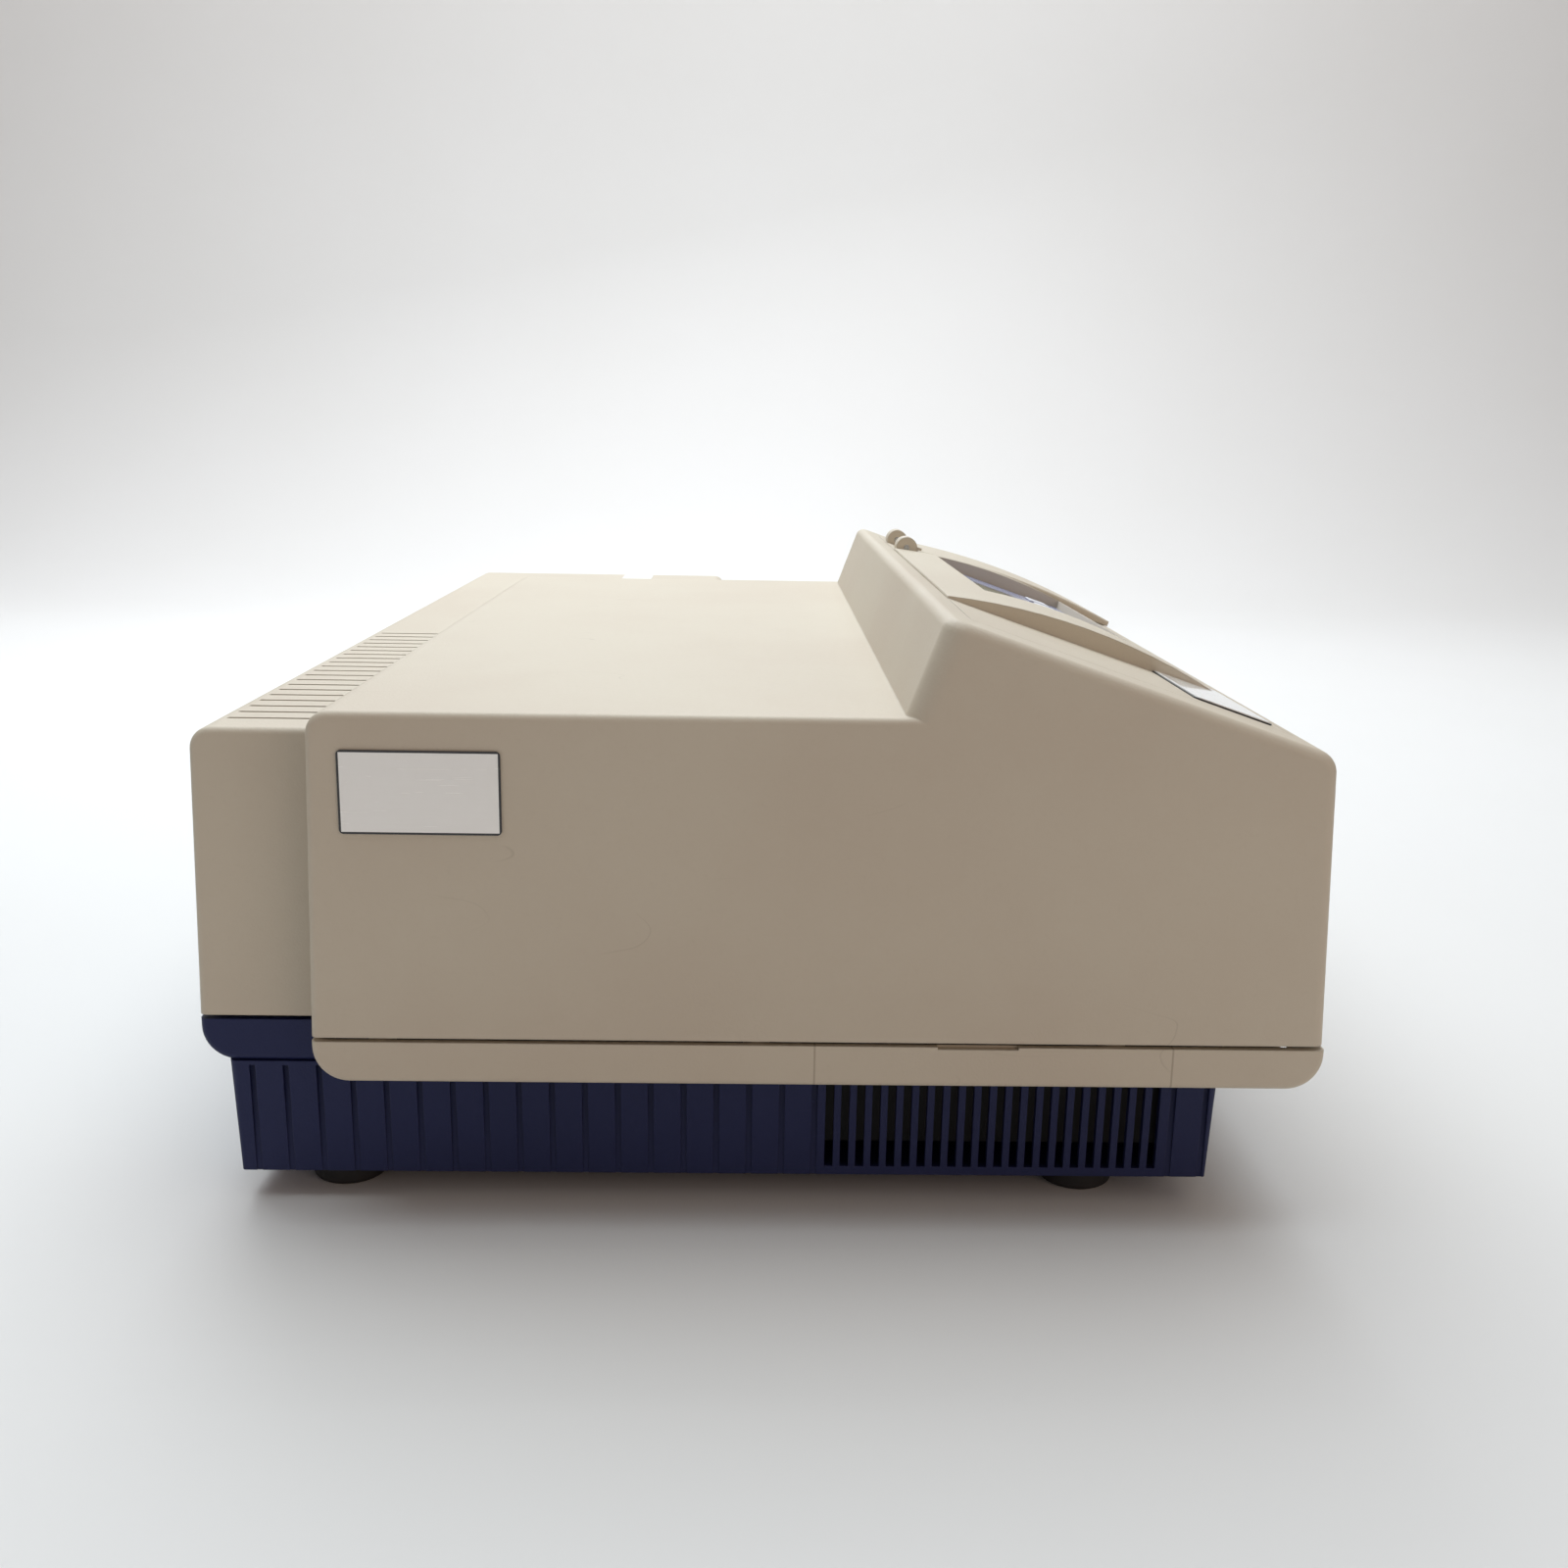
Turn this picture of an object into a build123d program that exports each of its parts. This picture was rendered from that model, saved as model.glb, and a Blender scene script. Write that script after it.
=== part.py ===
from build123d import *
import math
import os

# A bench-top microplate reader. Millimetres. +X is the user's right, the front faces -Y, +Z is up.
# The origin is the middle of the footprint, on the surface that the feet stand on.

# Case, plan
case_width = 580.0
case_depth = 380.0
notch_width = 125.0         # plan notch at the front right, where the drawer comes out
right_depth = 167.4         # right section, from its front face to the rear
side_step = 19.6            # the rear body and the base stand back from the wing's side
strip_depth = 43.1          # rear strip behind the wing, at the seam
case_wall = 3.0
joint_gap = 0.3             # between separate mouldings
wall_overlap = 12.0         # stretch behind the wing over which the covers open into each other

# Case, heights
foot_height = 10.5
base_height = 42.5          # from the feet to the trim
trim_height = 14.2
seam_gap = 1.5
flat_top = 177.8
rear_step = 9.4             # the rear section's top lies this much lower

# Ridge and sloped deck
deck_angle = 18.8
crest_depth = 131.5         # behind the front
crest_rise = 32.5           # above the flat top
ridge_run = 12.0            # from the crest back to the flat top
front_step = 0.3            # the cover's front face at the seam, behind the trim's
front_draft = 2.35
wing_rear_draft = 1.6
rear_draft = 1.4
ridge_end_round = 8.0       # in the end view, where the ridge meets each side
crest_round = 4.0
edge_round = 2.5
top_round = 7.5
nose_round = 8.0

# Base
base_draft = 2.5
base_lip_round = 12.0
lip_rear_step = 8.9         # the lip under the seam stands out over the base wall
base_front_step = 28.4
groove_pitch = 11.4
groove_width = 2.0
groove_depth = 1.2
slot_pitch = 5.43
slot_width = 3.0
slot_depth = 165.5          # first slot, behind the front
slot_count = 22
slot_sill = 0.2             # above the base's floor
slot_head = 2.0             # below the top of the base's wall
groove_foot = 1.0
groove_head = 1.5
groove_start = 0.7          # first groove, in pitches from the corner
foot_radius = 13.25
foot_round = 2.0
foot_socket_radius = 4.0
foot_socket_depth = 4.0
trim_round = 12.0

# Finger notch in the seam of the left side
grip_back = 116.2           # behind the front
grip_length = 27.0
grip_depth = 2.5
grip_height = 0.8

# Rear strip vents
vent_side_margin = 17.1
vent_pitch = 11.7
vent_width = 2.0
vent_count = 20
vent_rear_margin = 10.1
vent_front_margin = 4.0

# Fascia, in the slope's own frame: x across, v up the slope, w out of it
fascia_side_margin = 24.0
fascia_below_crest = 10.3
fascia_length = 115.0
fascia_thick = 2.5
fascia_gap = 0.4
ledge_width = 5.0
rim_width = 2.0
rim_thick = 2.5
bulge_lead = 55.0           # left of the window
bulge_length = 107.0
bulge_step = 0.8
bulge_rise = 6.0
window_width = 169.0
window_margin = 10.0        # from the window to the lid
window_top_v = -21.3
window_bottom_v = -88.0
overlay_thick = 0.6
bulge_solid = 14.0          # left solid beside the window, for the screw posts
post_radius = 3.0
post_left_inset = 8.0
post_right_inset = 4.0
post_v_inset = 4.0

# Display and keys
display_width = 83.0
display_height = 24.0
display_v = -42.0
display_rim = 2.5           # the film's window laps over the display by this much
key_count = 6
key_width = 16.0
key_height = 10.0
key_pitch = 25.0
key_v = -73.0
key_proud = 0.8
key_travel = 0.6
key_gap = 0.3
key_round = 0.5
switch_size = 6.0
switch_stem = 4.0           # from the display board to the underside of a key
switch_gap = 0.2
board_drop = 8.5            # display board below the slope's face
board_thick = 1.6
board_left_margin = 14.0
board_right_margin = 2.0
board_v_margin = 10.0

# Cuvette lid and well
lid_width = 68.0
lid_margin = 37.0           # from the lid to the fascia's right end
lid_top_v = -12.0
lid_bottom_v = -118.8
lid_top_w = 3.5
lid_crown_w = 7.3
lid_bottom_w = 2.9
lid_thick = 2.2
lid_lift = 0.3
hinge_v = -6.0
hinge_w = 3.0
knuckle_radius = 5.4
knuckle_width = 6.0
ear_width = 5.2
hinge_pin_radius = 1.5
hinge_room = 2.0
pin_clear = 0.06
cuvette_inset = 32.0        # from the lid's left edge
cuvette_depth = 65.0        # behind the front
cuvette_size = 12.6
cuvette_drop = 70.3         # well's floor below the crest
beam_above_floor = 15.0
chamber_size = 38.0
chamber_floor = 8.0
chamber_rise = 32.0         # above the well's floor
chimney_size = 18.0
chimney_proud = 1.0         # above the slope, under the lid
pillar_size = 18.0
pillar_foot_size = 40.0
pillar_foot_thick = 4.0

# Microplate, portrait in the drawer
plate_width = 85.5
plate_length = 127.8
plate_height = 14.35
plate_gap = 0.5
plate_margin = 68.0         # its middle from the right side
plate_back = 72.3           # its middle behind the drawer's face
well_pitch = 9.0
well_rows = 8
well_columns = 12

# Drawer
carrier_width = 100.0
carrier_lift = 13.3         # above the covers' lower edge
carrier_thick = 8.0
carrier_floor = 3.0
carrier_ledge = 3.6
carrier_rear_gap = 7.0      # from the rear
carrier_round = 3.0
relief_length = 34.0        # finger reliefs beside the plate
relief_width = 9.0
clip_post_radius = 2.0
clip_post_height = 4.5
clip_thick = 3.0
clip_boss_radius = 5.0
clip_arm_length = 26.0
clip_arm_width = 5.0
clip_back = 14.0            # pivot behind the plate
clip_tip_gap = 1.5
drawer_front_thick = 4.0
drawer_front_gap = 0.5
drawer_opening_margin = 1.5
drawer_face_margin = 3.5
drawer_opening_below = 5.0  # under the carrier
drawer_opening_height = 36.0
rail_height = 6.5
rail_width = 9.0
rail_gap = 0.1
rail_block_length = 28.0
rail_block_width = 20.0
rail_block_cover = 3.5
bracket_thick = 3.0
bracket_foot = 20.0
bracket_drop = 8.0          # below the belt's middle
idler_arm = 10.0

# Belt drive of the drawer
belt_drop = 13.0            # its middle under the carrier
belt_radius = 6.3
belt_thick = 1.2
belt_width = 6.0
belt_inset = 1.5            # from the carrier's right edge
idler_back = 11.6           # behind the drawer's face
motor_pulley_inset = 11.0   # from the carrier's rear edge
pulley_radius = 6.0
flange_thick = 0.8
flange_gap = 0.2
flange_radius = 8.0
pulley_shaft_radius = 2.5
shaft_clear = 0.05
shaft_reach = 8.0           # into a motor
shaft_hole = 12.0
motor_shaft_gap = 2.5       # from a motor's boss to the belt
clamp_length = 6.0
clamp_gap = 0.3
clamp_side = 0.7

# Small stepper motors
motor_size = 28.0
motor_length = 30.0
drawer_motor_size = 24.0
motor_boss_radius = 8.0
motor_boss_height = 1.5
motor_chamfer = 3.0
motor_groove = 0.5

# Read head: a C over and under the drawer, on two rods
head_travel = well_pitch * (well_columns - 1)
head_length = 22.0
spine_gap = 74.0            # from the plate's middle to the spine
spine_width = 36.0
arm_reach = 8.5             # beyond the last row of wells
upper_arm_thick = 22.0
lower_arm_thick = 18.0
spine_chamfer = 4.0
upper_chamfer = 6.0
lower_chamfer = 2.0
lens_clear = 3.65           # from the plate's top to the lenses
detector_clear = 2.4        # from the detectors to the carrier's underside
rod_inset = 12.0            # from the spine's left face
rod_low_rise = 10.0         # above the lower arm's underside
rod_high_rise = 12.0        # above the upper arm's underside
rod_radius = 4.0
bush_wall = 3.0
screw_radius = 4.0
nut_wall = 2.5
head_clear = 10.0           # free space past the head at each end of its travel
end_plate_thick = 6.0
end_plate_half_width = 12.0
end_plate_over_rod = 13.0
frame_floor_thick = 4.0
screw_end_gap = 0.5
screw_flat = 0.5
lens_radius = 3.2
lens_proud = 3.0
lens_depth = 8.0
detector_radius = 3.0
detector_height = 2.0
detector_board_side = 8.0
detector_board_end = 7.0
detector_board_half = 9.0

# Chassis and fasteners
chassis_lift = 9.5          # above the feet
chassis_thick = 1.5
chassis_margin = 9.0
baffle_drop = 6.0           # upturned edge behind the base's open slots, below their wall's top
baffle_margin = 6.0
board_post_radius = 3.0
boss_radius = 4.5
boss_height = 26.0          # above the covers' lower edge
boss_hole_height = 14.0
rib_thick = 2.0
rib_start = 1.0
screw_shank_radius = 1.9
screw_head_radius = 3.6
screw_head_height = 2.4
screw_reach = 10.0          # above the covers' lower edge
screw_pad = 2.5             # on the trim's floor, under each cover screw
head_sink = 0.4
head_gap = 0.4
shank_gap = 0.3
thread_gap = 0.05

# Electronics
board_lift = 8.0
board_side = 21.8
board_width = 126.0
board_front = 48.0
board_length = 162.0
board_inset = 6.0
supply_side = 19.8
supply_width = 85.0
supply_rear = 40.0
supply_length = 100.0
supply_height = 52.5
supply_sheet = 1.2
supply_vent_count = 9
supply_vent_pitch = 9.0
supply_vent_width = 3.5
supply_vent_margin = 16.0
supply_board_lift = 5.0

# Optical bench
bench_left_gap = 55.0       # from the power supply
bench_right_gap = 62.0      # from the read head's spine
bench_rear_gap = 80.0       # from the rear
bench_length = 130.0
bench_lift = 18.5
bench_height = 70.0
bench_wall = 5.0
bench_cover_thick = 3.0
bench_leg_radius = 6.0
bench_leg_inset = 10.0
bench_corner = 6.0
cover_screw_inset = 9.0
cover_screw_height = 2.0
beam_inset = 55.0           # from the bench's rear
beam_rise = 35.0            # above the bench's underside
beam_radius = 5.0
partition_inset = 75.0      # from the bench's left end
partition_thick = 3.0
slit_width = 8.0
slit_height = 16.0
wheel_radius = 30.0
wheel_thick = 3.0
wheel_gap = 6.0             # from the bench's wall
wheel_hub_radius = 6.0
wheel_hub_height = 3.0
wheel_shaft_radius = 2.0
wheel_shaft_length = 14.0
filter_radius = 6.0
filter_lip = 1.5
filter_seat = 1.0
filter_count = 6
filter_circle = 22.0
filter_motor_radius = 12.0
filter_motor_length = 26.0
filter_motor_gap = 4.0
grating_inset = 40.0        # from the bench's right end
grating_back = 65.0         # from the bench's rear
grating_size = 32.0
grating_thick = 8.0
grating_shaft_radius = 2.5
grating_hub_radius = 6.0
grating_seat = 1.5
grating_shaft_rise = 12.0
mirror_radius = 16.0
mirror_thick = 8.0
mirror_inset = 24.0
mirror_side = 18.0
mirror_block_width = 12.0
mirror_block_length = 26.0
mirror_block_height = 20.0

# Lamp house
lamp_gap = 2.0
lamp_length = 44.0
lamp_half_width = 25.0
lamp_over_beam = 25.0
lamp_wall = 4.0
lamp_floor = 6.0
fin_count = 6
fin_pitch = 8.0
fin_thick = 2.0
fin_height = 8.0
lamp_base_radius = 9.0
bulb_radius = 7.5
bulb_base_drop = 14.0
bulb_rise = 4.0

# Light guide to the cuvette
fibre_radius = 4.0
fibre_gap = 0.1
fibre_seat = 5.0
fibre_exit_inset = 30.0

# Rear panel
panel_thick = 1.2
panel_sink = 6.0            # behind the rear face
panel_side = 43.8
panel_width = 242.0
panel_lift = 3.3
panel_top_gap = 12.4
panel_border = 6.0
inlet_side = 36.0           # this and the next four from the panel's left or right end
inlet_flange = (50.0, 28.0)
inlet_flange_thick = 2.5
inlet_body = (31.0, 23.0)
inlet_body_depth = 22.0
inlet_cut = (32.0, 24.0)
switch_side = 78.0
ports_side = 128.0
fan_side = 48.0
fan_rise = 42.0             # above the panel's lower edge
fan_size = 60.0
fan_depth = 15.0
fan_bore = 28.0
fan_blades = 7
fan_hub_radius = 12.5
fan_hub_height = 11.5
fan_hub_plate = 13.0
fan_spoke_width = 3.0
fan_spoke_thick = 1.5
fan_axle_radius = 1.5
fan_axle_length = 9.0
fan_hub_lift = 2.0
blade_length = 15.0
blade_width = 12.0
blade_thick = 1.2
blade_angle = 35.0
blade_middle = 19.0
guard_rings = (10.0, 16.0, 22.0, 28.0)
guard_wire = 1.4
guard_spoke = 1.8
guard_spoke_half = 37.0
guard_screw_circle = 35.4
guard_screw_radius = 3.2
socket_width = 24.5
socket_height = 17.0
socket_depth = 16.0
socket_rise = 28.0          # above the panel's lower edge
socket_corner = 5.0
rocker_tilt = 8.0
switch_flange = (21.0, 30.0)
switch_flange_thick = 1.5
switch_body = (17.4, 25.4)
switch_body_depth = 16.0
switch_well = (14.0, 23.0)
switch_well_depth = 12.0
switch_cut = (18.0, 26.0)
rocker_width = 13.4
rocker_half = 10.6
rocker_pin_radius = 1.2
rocker_pin_depth = 4.0

# Data ports: height above the panel's lower edge and half width of each
port_rows = ((56.0, 9.5), (24.0, 20.5))
port_cut_height = 10.0
port_ear = 6.5
port_flange_height = 12.4
port_shell_half = 4.2
port_shell_length = 5.0
port_body_depth = 14.0
port_pin_pitch = 2.77
port_pin_radius = 0.6
port_nut_radius = 2.2

# Tag plate
tag_width = 51.8
tag_height = 27.4
tag_thick = 0.6
tag_front = 38.7            # its middle before the wing's rear face
tag_drop = 25.8             # its middle below the flat top
tag_round = 1.5

# Derived places
left_x = -case_width / 2
right_x = case_width / 2
rear_y = case_depth / 2
front_y = -case_depth / 2
trim_bottom = foot_height + base_height
trim_top = trim_bottom + trim_height
cover_bottom = trim_top + seam_gap
rear_top = flat_top - rear_step
notch_front_y = rear_y - right_depth
wing_rear_y = rear_y - strip_depth
crest_y = front_y + crest_depth
crest_z = flat_top + crest_rise
valley_y = crest_y + ridge_run
front_face_y = front_y + front_step
fascia_rear_y = crest_y - fascia_below_crest
wing_left = left_x + tag_thick
wing_right = right_x - notch_width
body_left = wing_left + side_step
base_top = trim_bottom - 1.0
base_wing_right = wing_right - side_step
base_front_y = front_y + base_front_step
base_rear_y = rear_y - lip_rear_step
base_notch_y = notch_front_y + lip_rear_step
chassis_z = foot_height + chassis_lift
chassis_top = chassis_z + chassis_thick
baffle_top_z = base_top - baffle_drop
slot_first_y = front_y + slot_depth
grip_y = front_y + grip_back
vent_first_x = body_left + vent_side_margin
vent_rear_y = rear_y - vent_rear_margin
tag_centre_y = wing_rear_y - tag_front
tag_centre_z = flat_top - tag_drop
slope = math.tan(math.radians(deck_angle))


def deck_z(y):
    return crest_z + slope * (y - crest_y)


fascia_left = wing_left + fascia_side_margin
fascia_right = wing_right - fascia_side_margin
deck_frame = Pos(0, fascia_rear_y, deck_z(fascia_rear_y)) * Rot(deck_angle, 0, 0)
lid_right_x = fascia_right - lid_margin
lid_left_x = lid_right_x - lid_width
window_right_x = lid_left_x - window_margin
window_left_x = window_right_x - window_width
bulge_left_x = window_left_x - bulge_lead
cuvette_x = lid_left_x + cuvette_inset
cuvette_y = front_y + cuvette_depth
cuvette_floor_z = crest_z - cuvette_drop
chamber_top_z = cuvette_floor_z + chamber_rise

plate_x = right_x - plate_margin
plate_y = notch_front_y + plate_back
carrier_bottom_z = cover_bottom + carrier_lift
carrier_rear_y = rear_y - carrier_rear_gap
drawer_opening_low_z = carrier_bottom_z - drawer_opening_below
drawer_opening_high_z = drawer_opening_low_z + drawer_opening_height
carrier_left = plate_x - carrier_width / 2
carrier_right = plate_x + carrier_width / 2
carrier_top = carrier_bottom_z + carrier_thick
drawer_face_y = notch_front_y - drawer_front_gap - drawer_front_thick
carrier_front_y = drawer_face_y + drawer_front_thick
drawer_travel = plate_y + plate_length / 2 - notch_front_y + drawer_opening_margin
belt_z = carrier_bottom_z - belt_drop
belt_right_x = carrier_right - belt_inset
idler_y = notch_front_y + idler_back
motor_pulley_y = carrier_rear_y - motor_pulley_inset
belt_left_x = belt_right_x - belt_width
belt_outer = belt_radius + belt_thick
head_home_y = plate_y + head_travel / 2
arm_right_x = plate_x + well_pitch * (well_rows - 1) / 2 + arm_reach
upper_arm_low_z = carrier_bottom_z + carrier_floor + plate_height + lens_clear + lens_proud
upper_arm_high_z = upper_arm_low_z + upper_arm_thick
lower_arm_high_z = carrier_bottom_z - detector_clear - detector_height - board_thick
lower_arm_low_z = lower_arm_high_z - lower_arm_thick
spine_right_x = plate_x - spine_gap
spine_left_x = spine_right_x - spine_width
rod_x = spine_left_x + rod_inset
rod_low_z = lower_arm_low_z + rod_low_rise
rod_high_z = upper_arm_low_z + rod_high_rise
screw_z = (rod_low_z + rod_high_z) / 2

board_z = chassis_top + board_lift
board_x = (body_left + board_side, body_left + board_side + board_width)
board_y = (front_y + board_front, front_y + board_front + board_length)
supply_x = (body_left + supply_side, body_left + supply_side + supply_width)
supply_y = (rear_y - supply_rear - supply_length, rear_y - supply_rear)
supply_top_z = chassis_top + supply_height

bench_left_x = supply_x[1] + bench_left_gap
bench_right_x = spine_left_x - bench_right_gap
bench_rear_y = rear_y - bench_rear_gap
bench_front_y = bench_rear_y - bench_length
bench_low_z = chassis_top + bench_lift
bench_high_z = bench_low_z + bench_height
beam_y = bench_rear_y - beam_inset
beam_z = bench_low_z + beam_rise
partition_x = bench_left_x + partition_inset
grating_x = bench_right_x - grating_inset
grating_y = bench_rear_y - grating_back

panel_face_y = rear_y - panel_sink
panel_left_x = body_left + panel_side
panel_right_x = panel_left_x + panel_width
panel_low_z = cover_bottom + panel_lift
panel_high_z = rear_top - panel_top_gap
inlet_x = panel_left_x + inlet_side
switch_x = panel_left_x + switch_side
ports_x = panel_left_x + ports_side
fan_x = panel_right_x - fan_side
fan_z = panel_low_z + fan_rise
socket_z = panel_low_z + socket_rise
head_frame_front = plate_y - head_travel / 2 - head_length / 2 - head_clear
head_frame_rear = head_home_y + head_length / 2 + head_clear


# Shape helpers

def block(x, y, z):
    size = Box(x[1] - x[0], y[1] - y[0], z[1] - z[0])
    return Pos((x[0] + x[1]) / 2, (y[0] + y[1]) / 2, (z[0] + z[1]) / 2) * size


def centred(cx, cy, cz, dx, dy, dz):
    return Pos(cx, cy, cz) * Box(dx, dy, dz)


def rod_along_x(x, y, z, radius):
    return Pos((x[0] + x[1]) / 2, y, z) * Rot(0, 90, 0) * Cylinder(radius, x[1] - x[0])


def rod_along_y(x, y, z, radius):
    return Pos(x, (y[0] + y[1]) / 2, z) * Rot(90, 0, 0) * Cylinder(radius, y[1] - y[0])


def rod_along_z(x, y, z, radius):
    return Pos(x, y, (z[0] + z[1]) / 2) * Cylinder(radius, z[1] - z[0])


def outline(corners):
    """A closed face from (a, b, radius) corners; radius 0 is a sharp corner."""
    points = [Vector(a, b) for a, b, _ in corners]
    count = len(points)
    enter, leave, crown = [], [], []
    for i, (_, _, radius) in enumerate(corners):
        here = points[i]
        if radius == 0:
            enter.append(here)
            leave.append(here)
            crown.append(None)
            continue
        back = (points[i - 1] - here).normalized()
        ahead = (points[(i + 1) % count] - here).normalized()
        half = math.radians(back.get_angle(ahead)) / 2
        reach = radius / math.tan(half)
        inward = (back + ahead).normalized()
        enter.append(here + back * reach)
        leave.append(here + ahead * reach)
        crown.append(here + inward * (radius / math.sin(half) - radius))
    edges = []
    for i in range(count):
        edges.append(Line(leave[i - 1], enter[i]))
        if crown[i] is not None:
            edges.append(ThreePointArc(enter[i], crown[i], leave[i]))
    return make_face(edges)


def along_x(face, x):
    """Extrude a face drawn in (y, z) from x[0] to x[1]."""
    return extrude(Pos(x[0], 0, 0) * (Plane.YZ * face), amount=x[1] - x[0])


def along_y(face, y):
    """Extrude a face drawn in (x, z) from y[0] to y[1]."""
    return extrude(Pos(0, y[1], 0) * (Plane.XZ * face), amount=y[1] - y[0])


def up(face, z, taper=0.0):
    return extrude(Pos(0, 0, z[0]) * face, amount=z[1] - z[0], taper=taper)


def grid(xs, ys):
    return [(x, y) for x in xs for y in ys]


def all_of(shapes):
    """One group of separate solids."""
    return Compound(children=[solid for shape in shapes for solid in shape.solids()])


def edges_at(shape, x):
    return [e for e in shape.edges() if abs(e.center().X - x) < 0.001]


# Fastener places
side_screw_x = wing_left + case_wall + boss_radius + joint_gap
front_screw_y = front_y + trim_round + screw_head_radius + head_gap
right_screw_x = wing_right - case_wall - boss_radius - joint_gap
cover_screws = [(side_screw_x, wing_rear_y - 21.9), (side_screw_x, crest_y + 58.5), (side_screw_x, front_y + 70),
                (wing_left + 99.4, front_screw_y), (wing_right - 105, front_screw_y), (right_screw_x, crest_y - 1.5)]
cover_seat_z = trim_bottom + case_wall + screw_pad
head_top_z = trim_bottom + head_sink + screw_head_height
front_boss_y = base_front_y + 26.6
rear_boss_y = base_rear_y - 16.1
chassis_screws = [(body_left + 34.8, front_boss_y), (body_left + 34.8, rear_boss_y), (board_x[1] + 42, front_boss_y),
                  (supply_x[1] + 85, rear_boss_y), (base_wing_right - 45.4, front_boss_y),
                  (base_wing_right - 50.4, rear_boss_y), (right_x - 50, base_notch_y + 28.5),
                  (right_x - 75, rear_boss_y + 3)]
front_foot_y = base_front_y + 43.6
rear_foot_y = base_rear_y - 34.1
foot_places = [(body_left + 24, front_foot_y), (body_left + 24, rear_foot_y), (base_wing_right - 24, front_foot_y),
               (right_x - 28, rear_foot_y), (right_x - 28, base_notch_y + 30.5)]


# Case

def wing_rear_at(z):
    return wing_rear_y - (z - cover_bottom) * math.tan(math.radians(wing_rear_draft))


def wing_front_at(z):
    return front_face_y + (z - cover_bottom) * math.tan(math.radians(front_draft))


def nose_corner():
    """Where the sloped deck meets the front face."""
    run = math.tan(math.radians(front_draft))
    y = (front_face_y + (crest_z - cover_bottom - slope * crest_y) * run) / (1 - slope * run)
    return y, deck_z(y)


def wing_corners(bottom, top, crest, nose):
    nose_y, nose_z = nose_corner()
    return [(wing_rear_at(bottom), bottom, 0), (wing_rear_at(flat_top), flat_top, top),
            (valley_y, flat_top, 0), (crest_y, crest_z, crest),
            (nose_y, nose_z, nose), (wing_front_at(bottom), bottom, 0)]


def wing_cover():
    body = along_x(outline(wing_corners(cover_bottom, top_round, 0, nose_round)), (wing_left, wing_right))
    ends = edges_at(body, wing_left) + edges_at(body, wing_right)
    ridge_mid = ((valley_y + crest_y) / 2, (flat_top + crest_z) / 2)
    ridge_ends = [e for e in ends if abs(e.center().Y - ridge_mid[0]) < 1 and abs(e.center().Z - ridge_mid[1]) < 1]
    body = fillet(ridge_ends, ridge_end_round)
    crest = [e for e in body.edges() if e.center().Z > crest_z - 3 and e.center().Y > crest_y - 4]
    crest = [e for e in crest if e.length > case_width / 2 or e.geom_type != GeomType.LINE]
    body = fillet(crest, crest_round)
    ends = edges_at(body, wing_left) + edges_at(body, wing_right)
    body = fillet([e for e in ends if e.center().Z > cover_bottom + 1], edge_round)

    deep = cover_bottom - 4 * case_wall
    inner = offset(outline(wing_corners(deep, 0, 0, 0)), -case_wall, kind=Kind.INTERSECTION)
    body -= along_x(inner, (wing_left + case_wall, wing_right - case_wall))
    # open towards the rear body and the right section, under the riser
    open_top = rear_top - 2 * case_wall
    body -= block((body_left + case_wall, wing_right + 1), (wing_rear_y - wall_overlap, wing_rear_y + 1),
                  (0, open_top))
    body -= block((wing_right - case_wall - 1, wing_right + 1),
                  (notch_front_y + case_wall + 1, wing_rear_y), (0, open_top))
    # seat for the fascia: an opening in the slope with a ledge under its rim
    seat = block((fascia_left - fascia_gap, fascia_right + fascia_gap), (-fascia_length - fascia_gap, fascia_gap),
                 (-fascia_thick, 20))
    body -= deck_frame * seat
    out = fascia_gap + rim_width
    rim = block((fascia_left - out, fascia_right + out), (-fascia_length - out, out),
                (-fascia_thick - rim_thick, -fascia_thick))
    hole = block((fascia_left + ledge_width, fascia_right - ledge_width),
                 (-fascia_length + ledge_width, -ledge_width), (-fascia_thick - 10, 20))
    body += deck_frame * rim
    body -= deck_frame * hole
    room = block((lid_left_x + ear_width, lid_right_x - ear_width), (-ledge_width - 1, -hinge_room),
                 (-fascia_thick - 2 * rim_thick, -fascia_thick))
    body -= deck_frame * room
    # screw bosses that stand on the trim's pads, each tied to the wall by a rib
    rib_z = (cover_bottom + rib_start, cover_bottom + boss_height)
    rib_y = rib_thick / 2
    for x, y in cover_screws:
        boss = rod_along_z(x, y, (cover_seat_z, rib_z[1]), boss_radius)
        if x == side_screw_x:
            boss += block((wing_left + case_wall / 2, x), (y - rib_y, y + rib_y), rib_z)
        elif x == right_screw_x:
            boss += block((x, wing_right - case_wall / 2), (y - rib_y, y + rib_y), rib_z)
        else:
            boss += block((x - rib_y, x + rib_y), (wing_front_at(rib_z[0]) + case_wall / 2, y), rib_z)
        body += boss
        body -= rod_along_z(x, y, (cover_seat_z - 1, cover_bottom + boss_hole_height), screw_shank_radius + thread_gap)
    return body


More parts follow.
